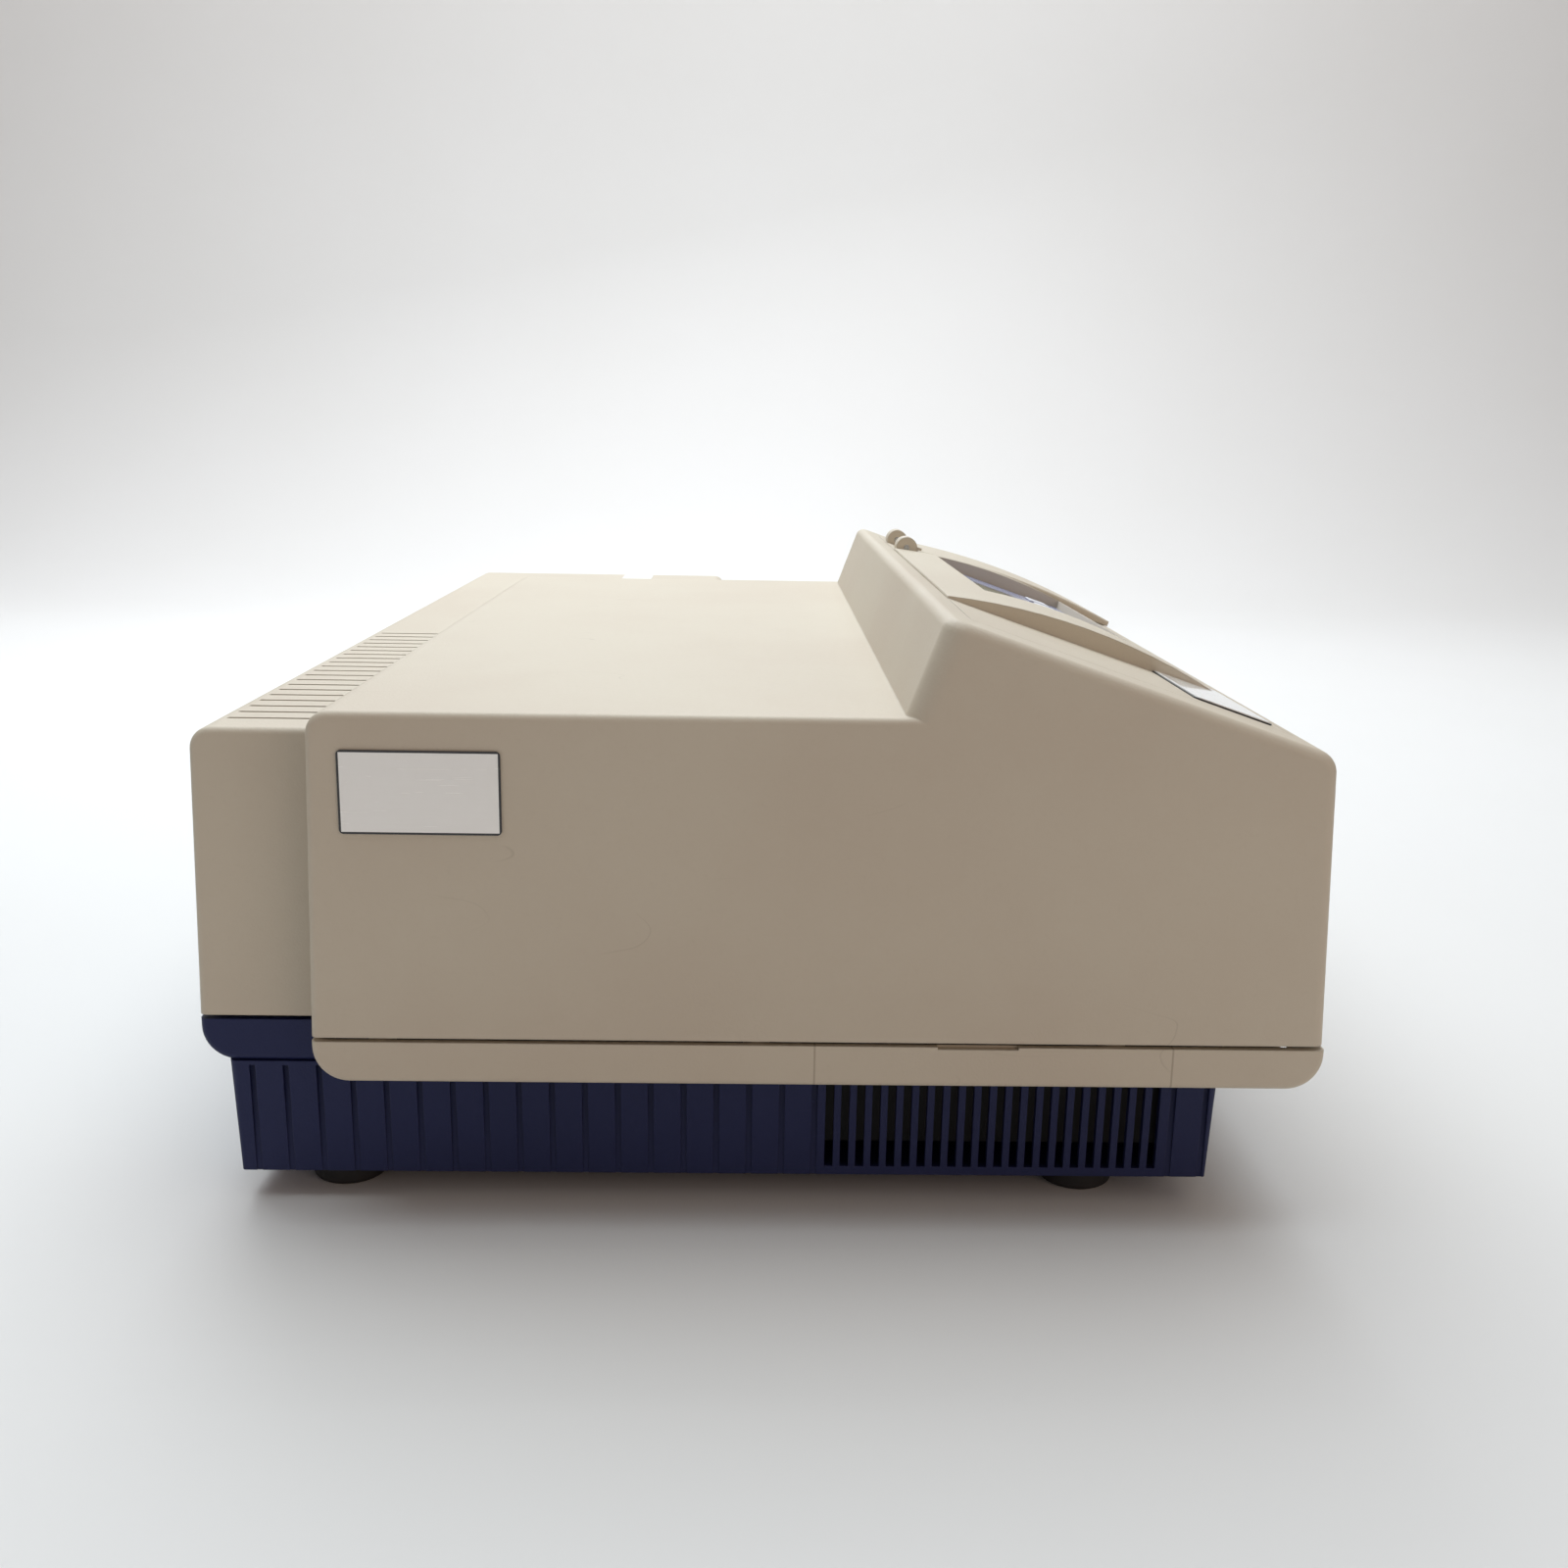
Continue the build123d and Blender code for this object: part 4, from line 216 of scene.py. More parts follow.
# the grain is drawn about twice as coarse as the real one, or the render would lose it
caseLook = {"colour": "#CABFAC", "aged": "#C6B9A6", "mottleMm": 150, "mottleCut": (0.35, 0.7),
            "fleck": "#BCB09D", "fleckGrains": 2.2, "fleckCut": (0.55, 0.8), "fleckShare": 0.12,
            "worn": "#D8CEBF", "edgeMm": 0.9, "wear": 0.5, "wearCut": (0.995, 0.86),
            "wearMm": 14, "wearPatchCut": (0.4, 0.62),
            "scratch": "#A69A87", "scratches": 0.3, "scratchMm": 34, "scratchStretch": (1.0, 0.35, 1.0),
            "scratchLevel": 0.52, "scratchWidth": (0.0022, 0.0004), "scratchDepth": 1.5,
            "scratchPatchMm": 46, "scratchPatchCut": (0.6, 0.68), "lines": (),
            "grainMm": 0.9, "grainDepth": 0.22, "riseMm": 0.4,
            "roughness": 0.5, "fleckRough": 0.08, "wearShine": 0.12, "specular": 0.4}
caseAbs = mouldedAbs("ABS moulded, sand beige", caseLook)

trimLook = dict(caseLook, lines=(-19.4, -139.0), line="#AEA18E", lineMm=(0.45, 0.2), edgeMm=0.6)
trimAbs = mouldedAbs("ABS moulded, sand beige trim", trimLook)

baseLook = dict(caseLook, colour="#181F48", aged="#1B224C", fleck="#212854", worn="#333A66",
                scratch="#373F6B", mottleMm=90, grainDepth=0.25, edgeMm=0.5, wear=0.6, scratches=0.35,
                specular=0.28)
baseAbs = mouldedAbs("ABS moulded, navy", baseLook)


# feet and belt

def rubberMoulded(name, look):
    # moulded rubber: dull and slightly chalky, so it gives no highlight
    material, tree, shader, place = startMaterial(name)
    chalk = patches(tree, place, look["chalkMm"], look["chalkCut"], 5, 0.6)
    colour = mixColour(tree, times(tree, chalk, look["chalkShare"]), look["colour"], look["chalk"])
    normal = bumpNormal(tree, noise(tree, place, look["grainMm"], 3), look["grainDepth"], look["riseMm"])
    feed(tree, shader, colour, addShare(tree, look["roughness"], chalk, look["chalkRough"]), normal)
    return material


rubberLook = {"colour": "#1B1B1C", "chalk": "#343434", "chalkMm": 6, "chalkCut": (0.45, 0.75),
              "chalkShare": 0.5, "grainMm": 0.7, "grainDepth": 0.35, "riseMm": 0.3,
              "roughness": 0.62, "chalkRough": 0.2}
footRubber = rubberMoulded("Rubber, black", rubberLook)

beltLook = dict(rubberLook, colour="#151515", chalk="#26282B")
beltRubber = rubberMoulded("Neoprene belt", beltLook)


# control panel

def printedFilm(name, look):
    # polyester film printed from behind: a flat even tone under a fine satin skin
    material, tree, shader, place = startMaterial(name)
    across, up, out = slopePlace(tree, place)
    x = minus(tree, across, look["centreX"] * mm)
    tone = patches(tree, place, look["toneMm"], look["toneCut"], 3)
    colour = mixColour(tree, tone, look["field"], look["fieldAlt"])
    # the dark block behind the display and the pale band under the keys
    for part in ("block", "band"):
        v = minus(tree, up, look[part + "V"] * mm)
        mask = boxMask(tree, x, v, look[part + "Half"], look["printSoftMm"])
        colour = mixColour(tree, mask, colour, look[part])
    dots = noise(tree, place, look["skinMm"], 1)
    normal = bumpNormal(tree, dots, look["skinDepth"], look["riseMm"])
    feed(tree, shader, colour, addShare(tree, look["roughness"], dots, look["skinRough"]), normal)
    setSockets(shader, {"Coat Weight": 0.5, "Coat Roughness": 0.18})
    return material


filmLook = {"centreX": -58.5, "field": "#8A92B6", "fieldAlt": "#949CBE", "toneMm": 30, "toneCut": (0.3, 0.7),
            "block": "#20253F", "blockV": -42, "blockHalf": (47, 15.5),
            "band": "#A9ACC6", "bandV": -73, "bandHalf": (80, 8.5), "printSoftMm": 0.3,
            "skinMm": 0.6, "skinDepth": 0.12, "riseMm": 0.2, "roughness": 0.2, "skinRough": 0.12}
panelFilm = printedFilm("Polyester film, lavender print", filmLook)


def liquidCrystal(name, look):
    # reflective display behind acrylic: olive glass with faint blank character cells
    material, tree, shader, place = startMaterial(name)
    across, up, out = slopePlace(tree, place)
    x = minus(tree, across, look["centreX"] * mm)
    v = minus(tree, up, look["centreV"] * mm)
    view = boxMask(tree, x, v, look["viewHalf"], look["viewSoftMm"])
    cell = times(tree, cellMask(tree, x, look["cellMm"][0], look["columnCut"]),
                 cellMask(tree, v, look["cellMm"][1], look["rowCut"]))
    panel = mixColour(tree, noise(tree, place, look["toneMm"], 2), look["panel"], look["panelAlt"])
    panel = mixColour(tree, times(tree, cell, look["cellShare"]), panel, look["cell"])
    colour = mixColour(tree, view, look["surround"], panel)
    smear = noise(tree, place, look["smearMm"], 4)
    feed(tree, shader, colour, addShare(tree, look["roughness"], smear, look["smearRough"]))
    setSockets(shader, {"IOR": 1.49})
    return material


displayLook = {"centreX": -58.5, "centreV": -42, "viewHalf": (36, 9.2), "viewSoftMm": 0.2,
               "surround": "#1C1E1D", "panel": "#7C8360", "panelAlt": "#858C68", "toneMm": 18,
               "cell": "#747A58", "cellMm": (3.4, 7.2), "columnCut": (0.44, 0.38), "rowCut": (0.42, 0.38),
               "cellShare": 0.35, "smearMm": 9, "roughness": 0.05, "smearRough": 0.1}
displayGlass = liquidCrystal("Acrylic over liquid crystal", displayLook)


def mouldedKey(name, look):
    # silicone key cap with a printed pale face, rubbed a little where fingers press
    material, tree, shader, place = startMaterial(name)
    across, up, out = slopePlace(tree, place)
    top = smoothStep(tree, out, *[h * mm for h in look["faceMm"]])
    colour = mixColour(tree, top, look["side"], look["face"])
    rub = patches(tree, place, look["rubMm"], look["rubCut"], 4)
    colour = mixColour(tree, times(tree, rub, look["rubShare"]), colour, look["rubbed"])
    normal = bumpNormal(tree, noise(tree, place, look["grainMm"], 2), look["grainDepth"], look["riseMm"],
                        roundedNormal(tree, look["edgeMm"]))
    feed(tree, shader, colour, addShare(tree, look["roughness"], rub, look["rubRough"]), normal)
    return material


keyLook = {"face": "#D9DAE0", "side": "#6F7190", "faceMm": (0.7, 1.1),
           "rubbed": "#C4C5CF", "rubMm": 5, "rubCut": (0.5, 0.75), "rubShare": 0.25,
           "edgeMm": 0.4, "grainMm": 0.5, "grainDepth": 0.15, "riseMm": 0.2,
           "roughness": 0.34, "rubRough": 0.15}
keyCap = mouldedKey("Silicone key, printed face", keyLook)


# tag and labels

def foilLabel(name, look):
    # satin foil label with a dark border painted as the shade along its edge, a little creased by handling
    material, tree, shader, place = startMaterial(name)
    xyz = addNode(tree, "ShaderNodeSeparateXYZ", {0: place}).outputs
    y = minus(tree, xyz["Y"], look["centre"][0] * mm)
    z = minus(tree, xyz["Z"], look["centre"][1] * mm)
    face = boxMask(tree, y, z, look["half"], look["edgeSoftMm"])
    brushed = noise(tree, place, look["brushMm"], 3, 0.6, look["brushStretch"])
    # the border's dark tone is painted shade along the label's edge
    colour = mixColour(tree, face, look["borderShade"], mixColour(tree, brushed, look["foil"], look["foilAlt"]))
    crease = noise(tree, place, look["creaseMm"], 2)
    normal = bumpNormal(tree, addShare(tree, crease, brushed, look["brushDepth"]), look["depth"],
                        look["riseMm"])
    feed(tree, shader, colour, addShare(tree, look["roughness"], brushed, look["brushRough"]), normal)
    tree.links.new(times(tree, face, look["metal"]), shader.inputs["Metallic"])
    return material


# border: a dark tone painted as the shade along the label's edge
tagLook = {"centre": (108.2, 152.0), "half": (25.1, 12.9), "edgeSoftMm": 0.15,
           "foil": "#FBFAF6", "foilAlt": "#F8F7F3", "borderShade": "#3A3A3C",
           "brushMm": 0.8, "brushStretch": (1, 0.04, 1), "brushDepth": 0.05, "creaseMm": 12,
           "depth": 0.25, "riseMm": 0.5, "roughness": 0.22, "brushRough": 0.08, "metal": 0.12}
tagFoil = foilLabel("Foil label, bare", tagLook)


def laminatedLabel(name, look):
    # paper label under clear film: flat white with a soft gloss and small bubbles
    material, tree, shader, place = startMaterial(name)
    fibre = noise(tree, place, look["fibreMm"], 4, 0.6)
    colour = mixColour(tree, fibre, look["paper"], look["paperAlt"])
    bubbles = patches(tree, place, look["bubbleMm"], look["bubbleCut"], 1)
    normal = bumpNormal(tree, bubbles, look["bubbleDepth"], look["riseMm"])
    feed(tree, shader, colour, addShare(tree, look["roughness"], fibre, look["fibreRough"]), normal)
    setSockets(shader, {"Coat Weight": look["coat"], "Coat Roughness": 0.06})
    return material


paperLook = {"paper": "#F4F4F2", "paperAlt": "#EAE9E5", "fibreMm": 1.2, "roughness": 0.35, "fibreRough": 0.1,
             "bubbleMm": 4, "bubbleCut": (0.62, 0.72), "bubbleDepth": 0.3, "riseMm": 0.2, "coat": 0.35}
paperLabel = laminatedLabel("Paper label, laminated", paperLook)

badgeLook = dict(paperLook, paper="#F6F6F3", paperAlt="#EFEEEB", roughness=0.2, coat=0.8)
badgeFilm = laminatedLabel("Domed resin badge, blank", badgeLook)


# sheet metal

def sheetSteel(name, look):
    # plated sheet: cool grey with cloudy crystal patches and rolling lines
    material, tree, shader, place = startMaterial(name)
    crystals = addNode(tree, "ShaderNodeTexVoronoi", {"Vector": place, "Scale": 1 / (look["crystalMm"] * mm)},
                       feature="F1").outputs["Color"]
    tone = addNode(tree, "ShaderNodeSeparateColor", {0: crystals}).outputs[0]
    rolled = noise(tree, place, look["rollMm"], 3, 0.6, look["rollStretch"])
    mixed = math2(tree, "ADD", times(tree, tone, look["crystalShare"]),
                  times(tree, rolled, look["rollShare"]), clamp=True)
    colour = mixColour(tree, mixed, look["dark"], look["light"])
    normal = bumpNormal(tree, rolled, look["rollDepth"], look["riseMm"], roundedNormal(tree, look["edgeMm"]))
    feed(tree, shader, colour, addShare(tree, look["roughness"], tone, look["crystalRough"]), normal)
    setSockets(shader, {"Metallic": 1.0})
    return material


zincLook = {"dark": "#8E9092", "light": "#B9BABA", "crystalMm": 9, "crystalShare": 0.35, "crystalRough": 0.14,
            "rollMm": 1.2, "rollStretch": (0.06, 1, 1), "rollShare": 0.5, "rollDepth": 0.08, "riseMm": 0.3,
            "edgeMm": 0.4, "roughness": 0.3}
zincSteel = sheetSteel("Steel sheet, zinc plated", zincLook)

rearPanelLook = dict(zincLook, crystalMm=6, dark="#A3A39E", light="#BFBEB8", roughness=0.34)
panelSteel = sheetSteel("Steel sheet, rear panel", rearPanelLook)

platingLook = dict(zincLook, crystalMm=3, dark="#A09E97", light="#C4C2BA", roughness=0.22)
portPlating = sheetSteel("Steel, tin plated", platingLook)


# machined metal

def turnedMetal(name, look):
    # machined metal: bright, with fine tool marks that stretch the highlight
    material, tree, shader, place = startMaterial(name)
    marks = noise(tree, place, look["markMm"], 3, 0.6, look["stretch"])
    tarnish = patches(tree, place, look["tarnishMm"], look["tarnishCut"], 4)
    colour = mixColour(tree, marks, look["dark"], look["light"])
    colour = mixColour(tree, times(tree, tarnish, look["tarnishShare"]), colour, look["tarnish"])
    normal = bumpNormal(tree, marks, look["markDepth"], look["riseMm"], roundedNormal(tree, look["edgeMm"]))
    feed(tree, shader, colour, addShare(tree, look["roughness"], marks, look["markRough"]), normal)
    setSockets(shader, {"Metallic": 1.0})
    return material


groundLook = {"dark": "#A6A8AA", "light": "#D2D3D4", "markMm": 0.7, "stretch": (1, 0.05, 1),
              "markDepth": 0.12, "riseMm": 0.2, "tarnish": "#8B8984", "tarnishMm": 22, "tarnishCut": (0.45, 0.75),
              "tarnishShare": 0.3, "edgeMm": 0.4, "roughness": 0.16, "markRough": 0.15}
groundSteel = turnedMetal("Steel, ground", groundLook)

milledLook = dict(groundLook, markMm=1.1, stretch=(0.08, 1, 1), dark="#B4B6B8", light="#D8D9DA",
                  tarnish="#A3A29C", roughness=0.26)
milledAluminium = turnedMetal("Aluminium, milled", milledLook)

bronzeLook = dict(groundLook, markMm=0.6, stretch=(1, 1, 1), dark="#8A6234", light="#B98A4E",
                  tarnish="#6E5636", roughness=0.3)
bronze = turnedMetal("Bronze, sintered", bronzeLook)


# plain plastics and dark coatings

def smoothPolymer(name, look):
    # plain moulded or dipped skin: even tone, shallow flow marks, soft gloss
    material, tree, shader, place = startMaterial(name)
    flow = noise(tree, place, look["flowMm"], 4, 0.55)
    colour = mixColour(tree, smoothStep(tree, flow, *look["flowCut"]), look["colour"], look["alt"])
    normal = bumpNormal(tree, noise(tree, place, look["grainMm"], 2), look["grainDepth"], look["riseMm"],
                        roundedNormal(tree, look["edgeMm"]))
    feed(tree, shader, colour, addShare(tree, look["roughness"], flow, look["flowRough"]), normal)
    return material


plasticLook = {"colour": "#161617", "alt": "#1D1D1F", "flowMm": 16, "flowCut": (0.35, 0.7), "flowRough": 0.12,
               "grainMm": 0.6, "grainDepth": 0.2, "riseMm": 0.3, "edgeMm": 0.4, "roughness": 0.4}
blackPlastic = smoothPolymer("Polyamide, black", plasticLook)

anodisedLook = dict(plasticLook, colour="#17181A", alt="#1E1F22", grainMm=0.5, grainDepth=0.18,
                    roughness=0.38)
anodised = smoothPolymer("Aluminium, black anodised", anodisedLook)

motorLook = dict(plasticLook, colour="#1A1B1D", alt="#222326", grainMm=0.8, grainDepth=0.12, roughness=0.32)
motorPaint = smoothPolymer("Motor shell, black enamel", motorLook)

dipLook = dict(plasticLook, colour="#101011", alt="#151517", grainMm=0.8, grainDepth=0.08, roughness=0.5)
dipCoat = smoothPolymer("Steel sheet, black dip coat", dipLook)

acetalLook = dict(plasticLook, colour="#E2E1DA", alt="#D8D6CD", grainDepth=0.08, roughness=0.34)
acetal = smoothPolymer("Acetal, white", acetalLook)

sleeveLook = dict(plasticLook, colour="#121214", alt="#1A1A1D", grainMm=0.9, grainDepth=0.3, roughness=0.45)
lightGuide = smoothPolymer("Light guide sleeve", sleeveLook)

# the badge's dark rim is painted shade along the badge's edge
rimShadeLook = dict(plasticLook, colour="#2C2D2F", alt="#353638", grainMm=0.5, grainDepth=0.1, roughness=0.3)
badgeShadeRim = smoothPolymer("Badge edge, painted shade", rimShadeLook)


# circuit boards

def etchedBoard(name, look):
    # glass-epoxy board: green mask over copper tracks, black parts above its face
    material, tree, shader, place = startMaterial(name)
    if look["sloped"]:
        height = slopePlace(tree, place)[2]
    else:
        height = addNode(tree, "ShaderNodeSeparateXYZ", {0: place}).outputs["Z"]
    above = smoothStep(tree, height, *[(look["face"] + rise) * mm for rise in look["partMm"]])
    tracks = addNode(tree, "ShaderNodeTexBrick",
                     {"Vector": place, "Scale": 1 / (look["trackMm"] * mm), "Mortar Size": look["gap"],
                      "Brick Width": look["width"], "Row Height": look["row"],
                      "Color1": look["mask"], "Color2": look["maskAlt"], "Mortar": look["copper"]})
    parts = mixColour(tree, patches(tree, place, look["partToneMm"], look["partCut"], 1), look["part"],
                      look["partAlt"])
    colour = mixColour(tree, above, tracks.outputs["Color"], parts)
    normal = bumpNormal(tree, tracks.outputs["Fac"], look["trackDepth"], look["riseMm"])
    feed(tree, shader, colour, addShare(tree, look["roughness"], above, look["partRough"]), normal)
    return material


# face is the board's upper side: its height in the case, or its place out of the sloped panel;
# gap, width and row are shares of the track pitch
mainBoardLook = {"sloped": False, "face": 31.1, "trackMm": 2.6, "gap": 0.12, "width": 2.6, "row": 0.5,
                 "mask": "#1E5A34", "maskAlt": "#226239", "copper": "#3C7F4A", "trackDepth": 0.2,
                 "riseMm": 0.2, "part": "#17181A", "partAlt": "#2A2B2E", "partMm": (0.05, 0.15), "partToneMm": 7,
                 "partCut": (0.4, 0.6), "roughness": 0.25, "partRough": 0.25}
mainBoardMask = etchedBoard("Glass epoxy board, main", mainBoardLook)
headBoardMask = etchedBoard("Glass epoxy board, head", dict(mainBoardLook, face=77.6))
displayBoardMask = etchedBoard("Glass epoxy board, display", dict(mainBoardLook, sloped=True, face=-8.5))


# optics

def clearSilica(name, look):
    # fused silica: clear, with hard bright edges
    material, tree, shader, place = startMaterial(name)
    haze = noise(tree, place, look["hazeMm"], 3)
    colour = mixColour(tree, haze, look["clear"], look["tint"])
    feed(tree, shader, colour, times(tree, haze, look["hazeRough"]))
    setSockets(shader, {"Transmission Weight": 0.9, "IOR": 1.46})
    return material


silicaLook = {"clear": "#F4F8F9", "tint": "#E4EEF0", "hazeMm": 6, "hazeRough": 0.06}
silica = clearSilica("Fused silica", silicaLook)


def silveredGlass(name, look):
    # front-silvered glass: a mirror with a faint haze
    material, tree, shader, place = startMaterial(name)
    haze = noise(tree, place, look["hazeMm"], 4)
    colour = mixColour(tree, haze, look["silver"], look["haze"])
    feed(tree, shader, colour, times(tree, haze, look["hazeRough"]))
    setSockets(shader, {"Metallic": 1.0})
    return material


mirrorLook = {"silver": "#DADDDF", "haze": "#C5C9CC", "hazeMm": 9, "hazeRough": 0.08}
mirrorGlass = silveredGlass("Glass, front silvered", mirrorLook)
print("materials made:", len(bpy.data.materials))

finishes = {
    caseAbs: ["wing_cover", "rear_cover", "front_fascia", "cuvette_lid", "drawer_front"],
    trimAbs: ["lower_trim"],
    baseAbs: ["base_pan"],
    footRubber: ["feet"],
    beltRubber: ["drive_belt"],
    panelFilm: ["overlay"],
    displayGlass: ["display_window"],
    tagFoil: ["tag_plate"],
    zincSteel: ["power_supply", "rail_bracket"],
    dipCoat: ["chassis_plate"],
    panelSteel: ["rear_panel"],
    groundSteel: ["screws", "lid_pins", "guide_rods", "lead_screw", "drawer_rail", "fan_guard",
                  "motor_pulley"],
    milledAluminium: ["head_arm", "head_frame", "filter_wheel", "grating"],
    anodised: ["cuvette_chamber", "monochromator", "monochromator_cover", "lamp_housing"],
    bronze: ["head_bushes"],
    blackPlastic: ["plate_carrier", "power_inlet", "switch_housing", "power_rocker", "fan_frame", "fan_rotor",
                   "rail_block"],
    motorPaint: ["drawer_motor", "head_motor", "grating_motor", "filter_motor"],
    acetal: ["idler_pulley", "belt_clamp", "plate_clip"],
    lightGuide: ["fibre_bundle"],
    mainBoardMask: ["main_board"],
    headBoardMask: ["detector_row"],
    displayBoardMask: ["display_board"],
    silica: ["lens_row", "flash_lamp"],
    mirrorGlass: ["mirrors"],
    portPlating: ["data_ports"],
    keyCap: [name for name in nodes if name.startswith("key_")],
}
for material, names in finishes.items():
    for name in names:
        mesh = nodes[name].data
        mesh.materials.clear()
        mesh.materials.append(material)
bare = sorted(set(nodes) - {name for names in finishes.values() for name in names})
print("finishes given, left over:", bare)


# added pieces: the badge on the sloped panel and the label on the flat top, both blank

def roundedPlate(name, size, corner, thick, edge, steps=6):
    # a plate with round corners and a softened top edge, its underside at z = 0
    width, depth = size
    ring = []
    for cornerX, cornerY, start in ((1, 1, 0), (-1, 1, 90), (-1, -1, 180), (1, -1, 270)):
        for i in range(steps + 1):
            angle = math.radians(start + 90 * i / steps)
            ring.append((cornerX * (width / 2 - corner) + corner * math.cos(angle),
                         cornerY * (depth / 2 - corner) + corner * math.sin(angle)))
    shape = bmesh.new()
    base = [shape.verts.new((x, y, 0)) for x, y in ring]
    face = shape.faces.new(base)
    raised = bmesh.ops.extrude_face_region(shape, geom=[face])["geom"]
    top = [v for v in raised if isinstance(v, bmesh.types.BMVert)]
    bmesh.ops.translate(shape, verts=top, vec=(0, 0, thick))
    rim = [e for e in shape.edges if all(v in top for v in e.verts)]
    bmesh.ops.bevel(shape, geom=rim, offset=edge, segments=3, profile=0.6, affect="EDGES")
    bmesh.ops.recalc_face_normals(shape, faces=shape.faces)
    mesh = bpy.data.meshes.new(name)
    shape.to_mesh(mesh)
    shape.free()
    return mesh


def addPlate(name, size, corner, thick, edge, material, matrix):
    # sizes in mm; the plate rides on the case and takes the finish it is given
    mesh = roundedPlate(name, [side * mm for side in size], corner * mm, thick * mm, edge * mm)
    mesh.materials.append(material)
    plate = bpy.data.objects.new(name, mesh)
    bpy.context.scene.collection.objects.link(plate)
    plate.matrix_world = matrix
    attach(plate, "frame")
    return plate


badge = {"centreX": -223, "centreV": -96.5, "lift": 0.02, "size": (68, 29), "corner": 2.2, "rimWidth": 0.8,
         "rimThick": 0.5, "rimEdge": 0.15, "faceThick": 0.9, "faceEdge": 0.3, "cornerStep": 0.6}
badgeCentre = [badge[axis] * mm for axis in ("centreX", "centreV", "lift")]
badgeSpot = slopeMatrix @ Matrix.Translation(badgeCentre)
# the dark rim round the face stands in for the shade along the badge's edge
addPlate("badgeShadeRim", badge["size"], badge["corner"], badge["rimThick"], badge["rimEdge"], badgeShadeRim, badgeSpot)
faceSize = [side - 2 * badge["rimWidth"] for side in badge["size"]]
addPlate("badgeFace", faceSize, badge["corner"] - badge["cornerStep"], badge["faceThick"], badge["faceEdge"],
         badgeFilm, badgeSpot)

topLabel = {"centre": (266, 80, 168.42), "size": (34, 19), "corner": 1.0, "thick": 0.25, "edge": 0.06}
addPlate("topLabel", topLabel["size"], topLabel["corner"], topLabel["thick"], topLabel["edge"], paperLabel,
         Matrix.Translation([value * mm for value in topLabel["centre"]]))
print("added pieces placed")


# floor and backdrop in one sweep, in metres

def pressedPaper(name, look):
    # matt pressed paper: an even pale tone with hardly any sheen
    material, tree, shader, place = startMaterial(name)
    colour = mixColour(tree, noise(tree, place, look["toneMm"], 3), look["tone"], look["toneAlt"])
    tree.links.new(colour, shader.inputs["Base Color"])
    normal = bumpNormal(tree, noise(tree, place, look["grainMm"], 3), look["grainDepth"], look["riseMm"])
    tree.links.new(normal, shader.inputs["Normal"])
    setSockets(shader, {"Roughness": look["roughness"]})
    return material


stage = {"near": -3.2, "far": 2.4, "halfWidth": 5.0, "bend": 0.9, "height": 3.4, "steps": 14,
         "tone": "#E6E5E4", "toneAlt": "#E3E2E0", "toneMm": 300, "grainMm": 3, "grainDepth": 0.05,
         "riseMm": 0.5, "roughness": 0.6}
bendStart = stage["far"] - stage["bend"]
profile = [(stage["near"], 0.0), (bendStart, 0.0)]
for i in range(1, stage["steps"] + 1):
    angle = math.pi / 2 * i / stage["steps"]
    profile.append((bendStart + stage["bend"] * math.sin(angle),
                    stage["bend"] - stage["bend"] * math.cos(angle)))
profile.append((stage["far"], stage["height"]))
shape = bmesh.new()
rows = [[shape.verts.new((x, side * stage["halfWidth"], z)) for x, z in profile] for side in (-1, 1)]
for i in range(len(profile) - 1):
    shape.faces.new((rows[0][i], rows[0][i + 1], rows[1][i + 1], rows[1][i]))
floorMesh = bpy.data.meshes.new("paperSweep")
shape.to_mesh(floorMesh)
shape.free()
floorMesh.shade_smooth()
floorMesh.materials.append(pressedPaper("Paper sweep", stage))
floor = bpy.data.objects.new("paperSweep", floorMesh)
bpy.context.scene.collection.objects.link(floor)
print("floor laid")


# soft studio light, in metres and watts

studio = {"tint": "#F2E8E4", "strength": 0.28}
world = bpy.data.worlds.new("Studio")
bpy.context.scene.world = world
world.use_nodes = True
background = world.node_tree.nodes["Background"]
background.inputs["Color"].default_value = linearColour(studio["tint"])
background.inputs["Strength"].default_value = studio["strength"]

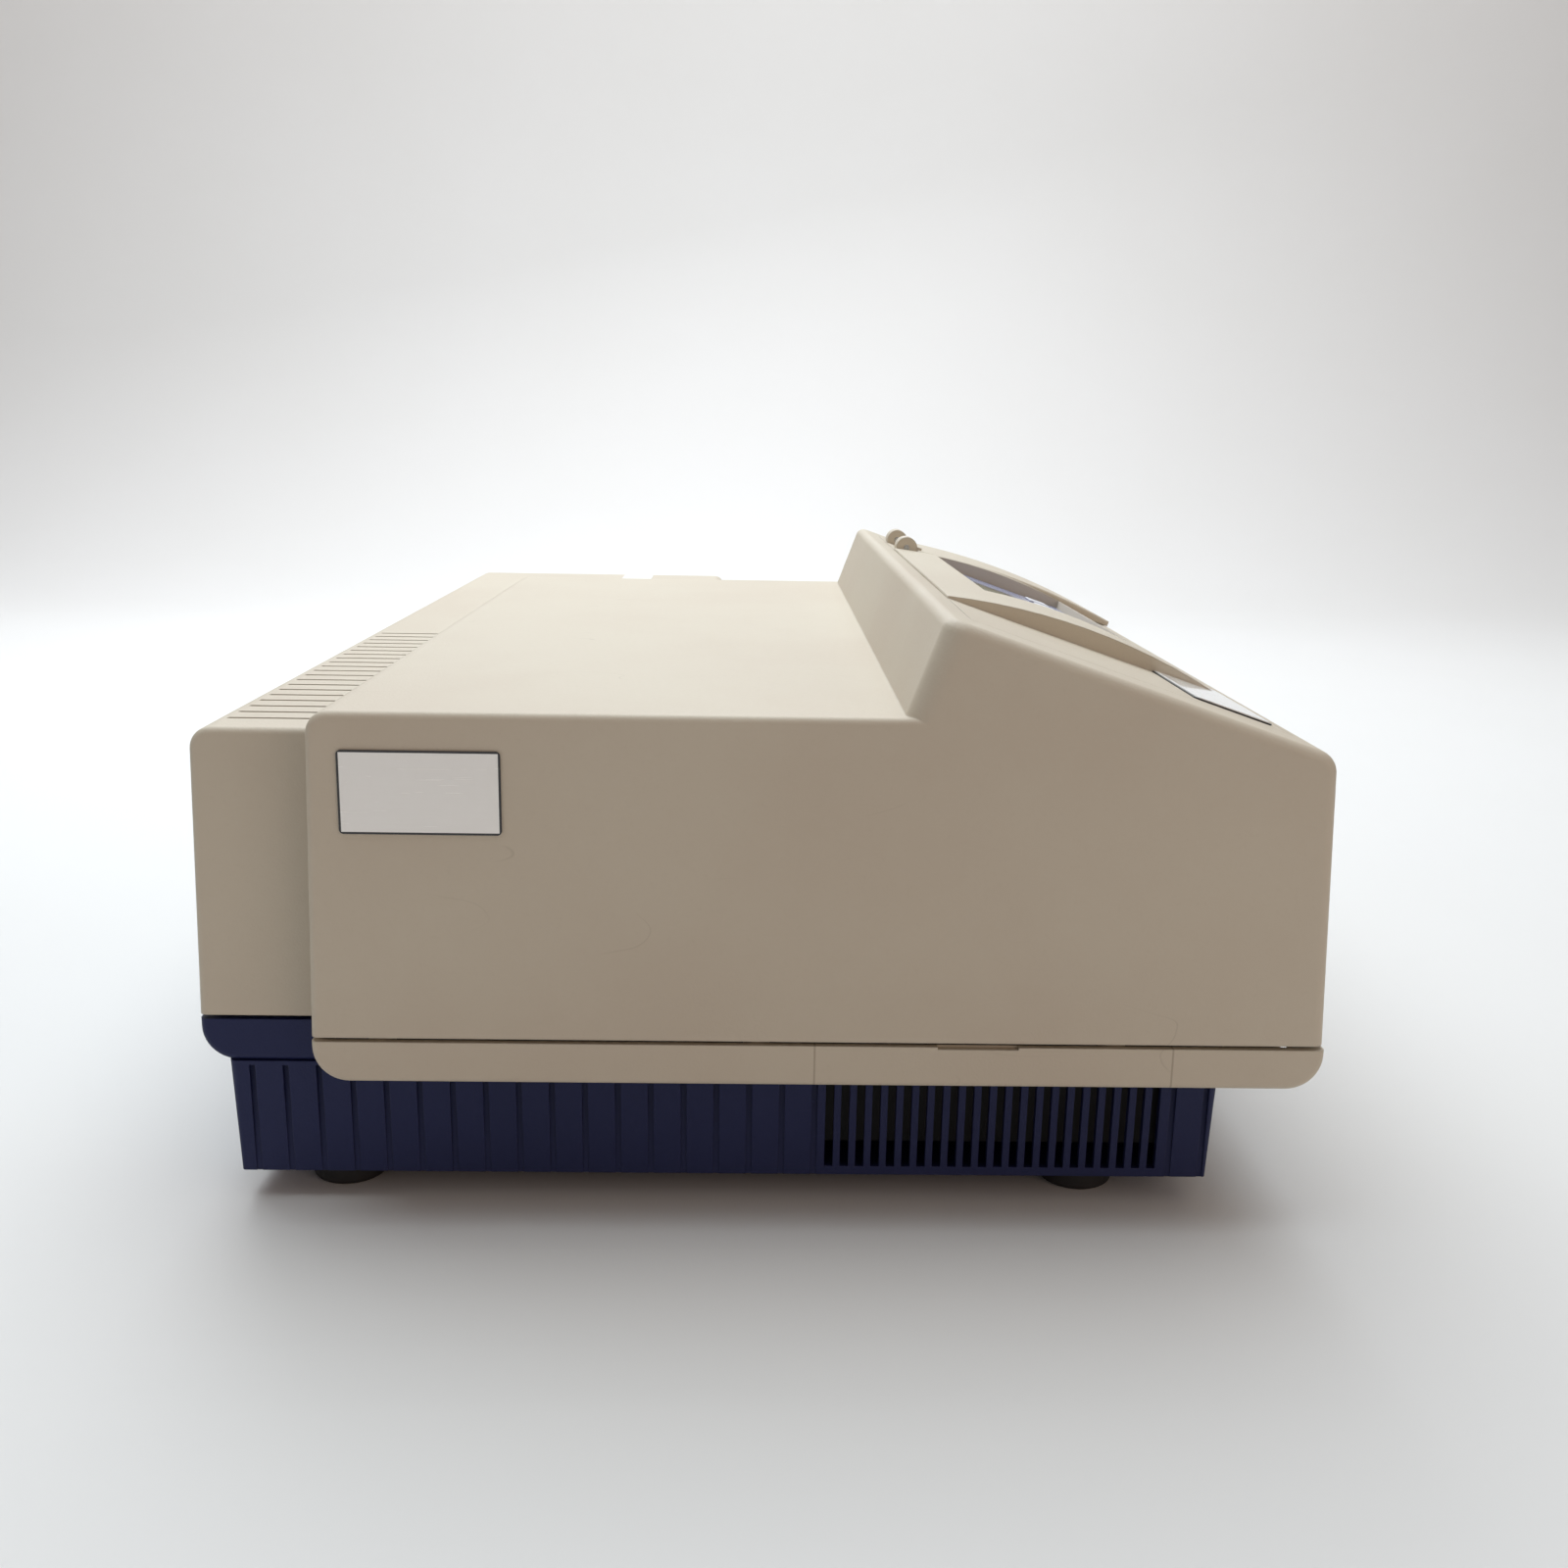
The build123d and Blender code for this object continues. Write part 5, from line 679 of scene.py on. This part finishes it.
softboxes = {
    "ceilingBox": {"place": (0.35, 0.15, 1.9), "aim": (0.0, 0.0, 0.1), "size": (2.4, 2.4), "watts": 44,
                   "tint": "#EEF9FF"},
    "rearBox": {"place": (1.5, 0.4, 1.5), "aim": (0.0, 0.0, 0.15), "size": (1.6, 1.2), "watts": 12,
                "tint": "#F6F9FF"},
    "nearFill": {"place": (-1.8, -1.4, 0.7), "aim": (0.0, 0.0, 0.1), "size": (1.4, 1.0), "watts": 5.4,
                 "tint": "#FFD9BC"},
    "wallWash": {"place": (0.9, 0.0, 2.3), "aim": (2.4, 0.0, 1.3), "size": (3.4, 0.7), "watts": 22,
                 "tint": "#FFFFFF"},
}
for name, box in softboxes.items():
    light = bpy.data.lights.new(name, "AREA")
    light.shape = "RECTANGLE"
    light.size, light.size_y = box["size"]
    light.energy = box["watts"]
    light.color = linearColour(box["tint"])[:3]
    lamp = bpy.data.objects.new(name, light)
    bpy.context.scene.collection.objects.link(lamp)
    lamp.location = box["place"]
    lamp.rotation_euler = (Vector(box["aim"]) - Vector(box["place"])).to_track_quat("-Z", "Y").to_euler()
print("lights set:", len(softboxes))


# the photograph's camera: its eye in metres and the picture's right and up in the part's frame

view = {"place": (-0.7784, 0.0024, 0.2675), "right": (-0.016826, -0.999719, 0.016711),
        "up": (0.221894, 0.012564, 0.97499), "focalPixels": 1605.0, "framePixels": 1600.0,
        "sensorMm": 36, "clipStart": 0.01}
camera = bpy.data.objects.new("camera", bpy.data.cameras.new("camera"))
bpy.context.scene.collection.objects.link(camera)
right, upward = Vector(view["right"]), Vector(view["up"])
axes = (right, upward, right.cross(upward), Vector(view["place"]))
camera.matrix_world = Matrix([[axis[row] for axis in axes] for row in range(3)] + [[0, 0, 0, 1]])
camera.data.sensor_width = view["sensorMm"]
camera.data.sensor_fit = "HORIZONTAL"
camera.data.lens = view["sensorMm"] * view["focalPixels"] / view["framePixels"]
camera.data.clip_start = view["clipStart"]
bpy.context.scene.camera = camera
bpy.context.scene.view_settings.view_transform = "Standard"
print("camera set")
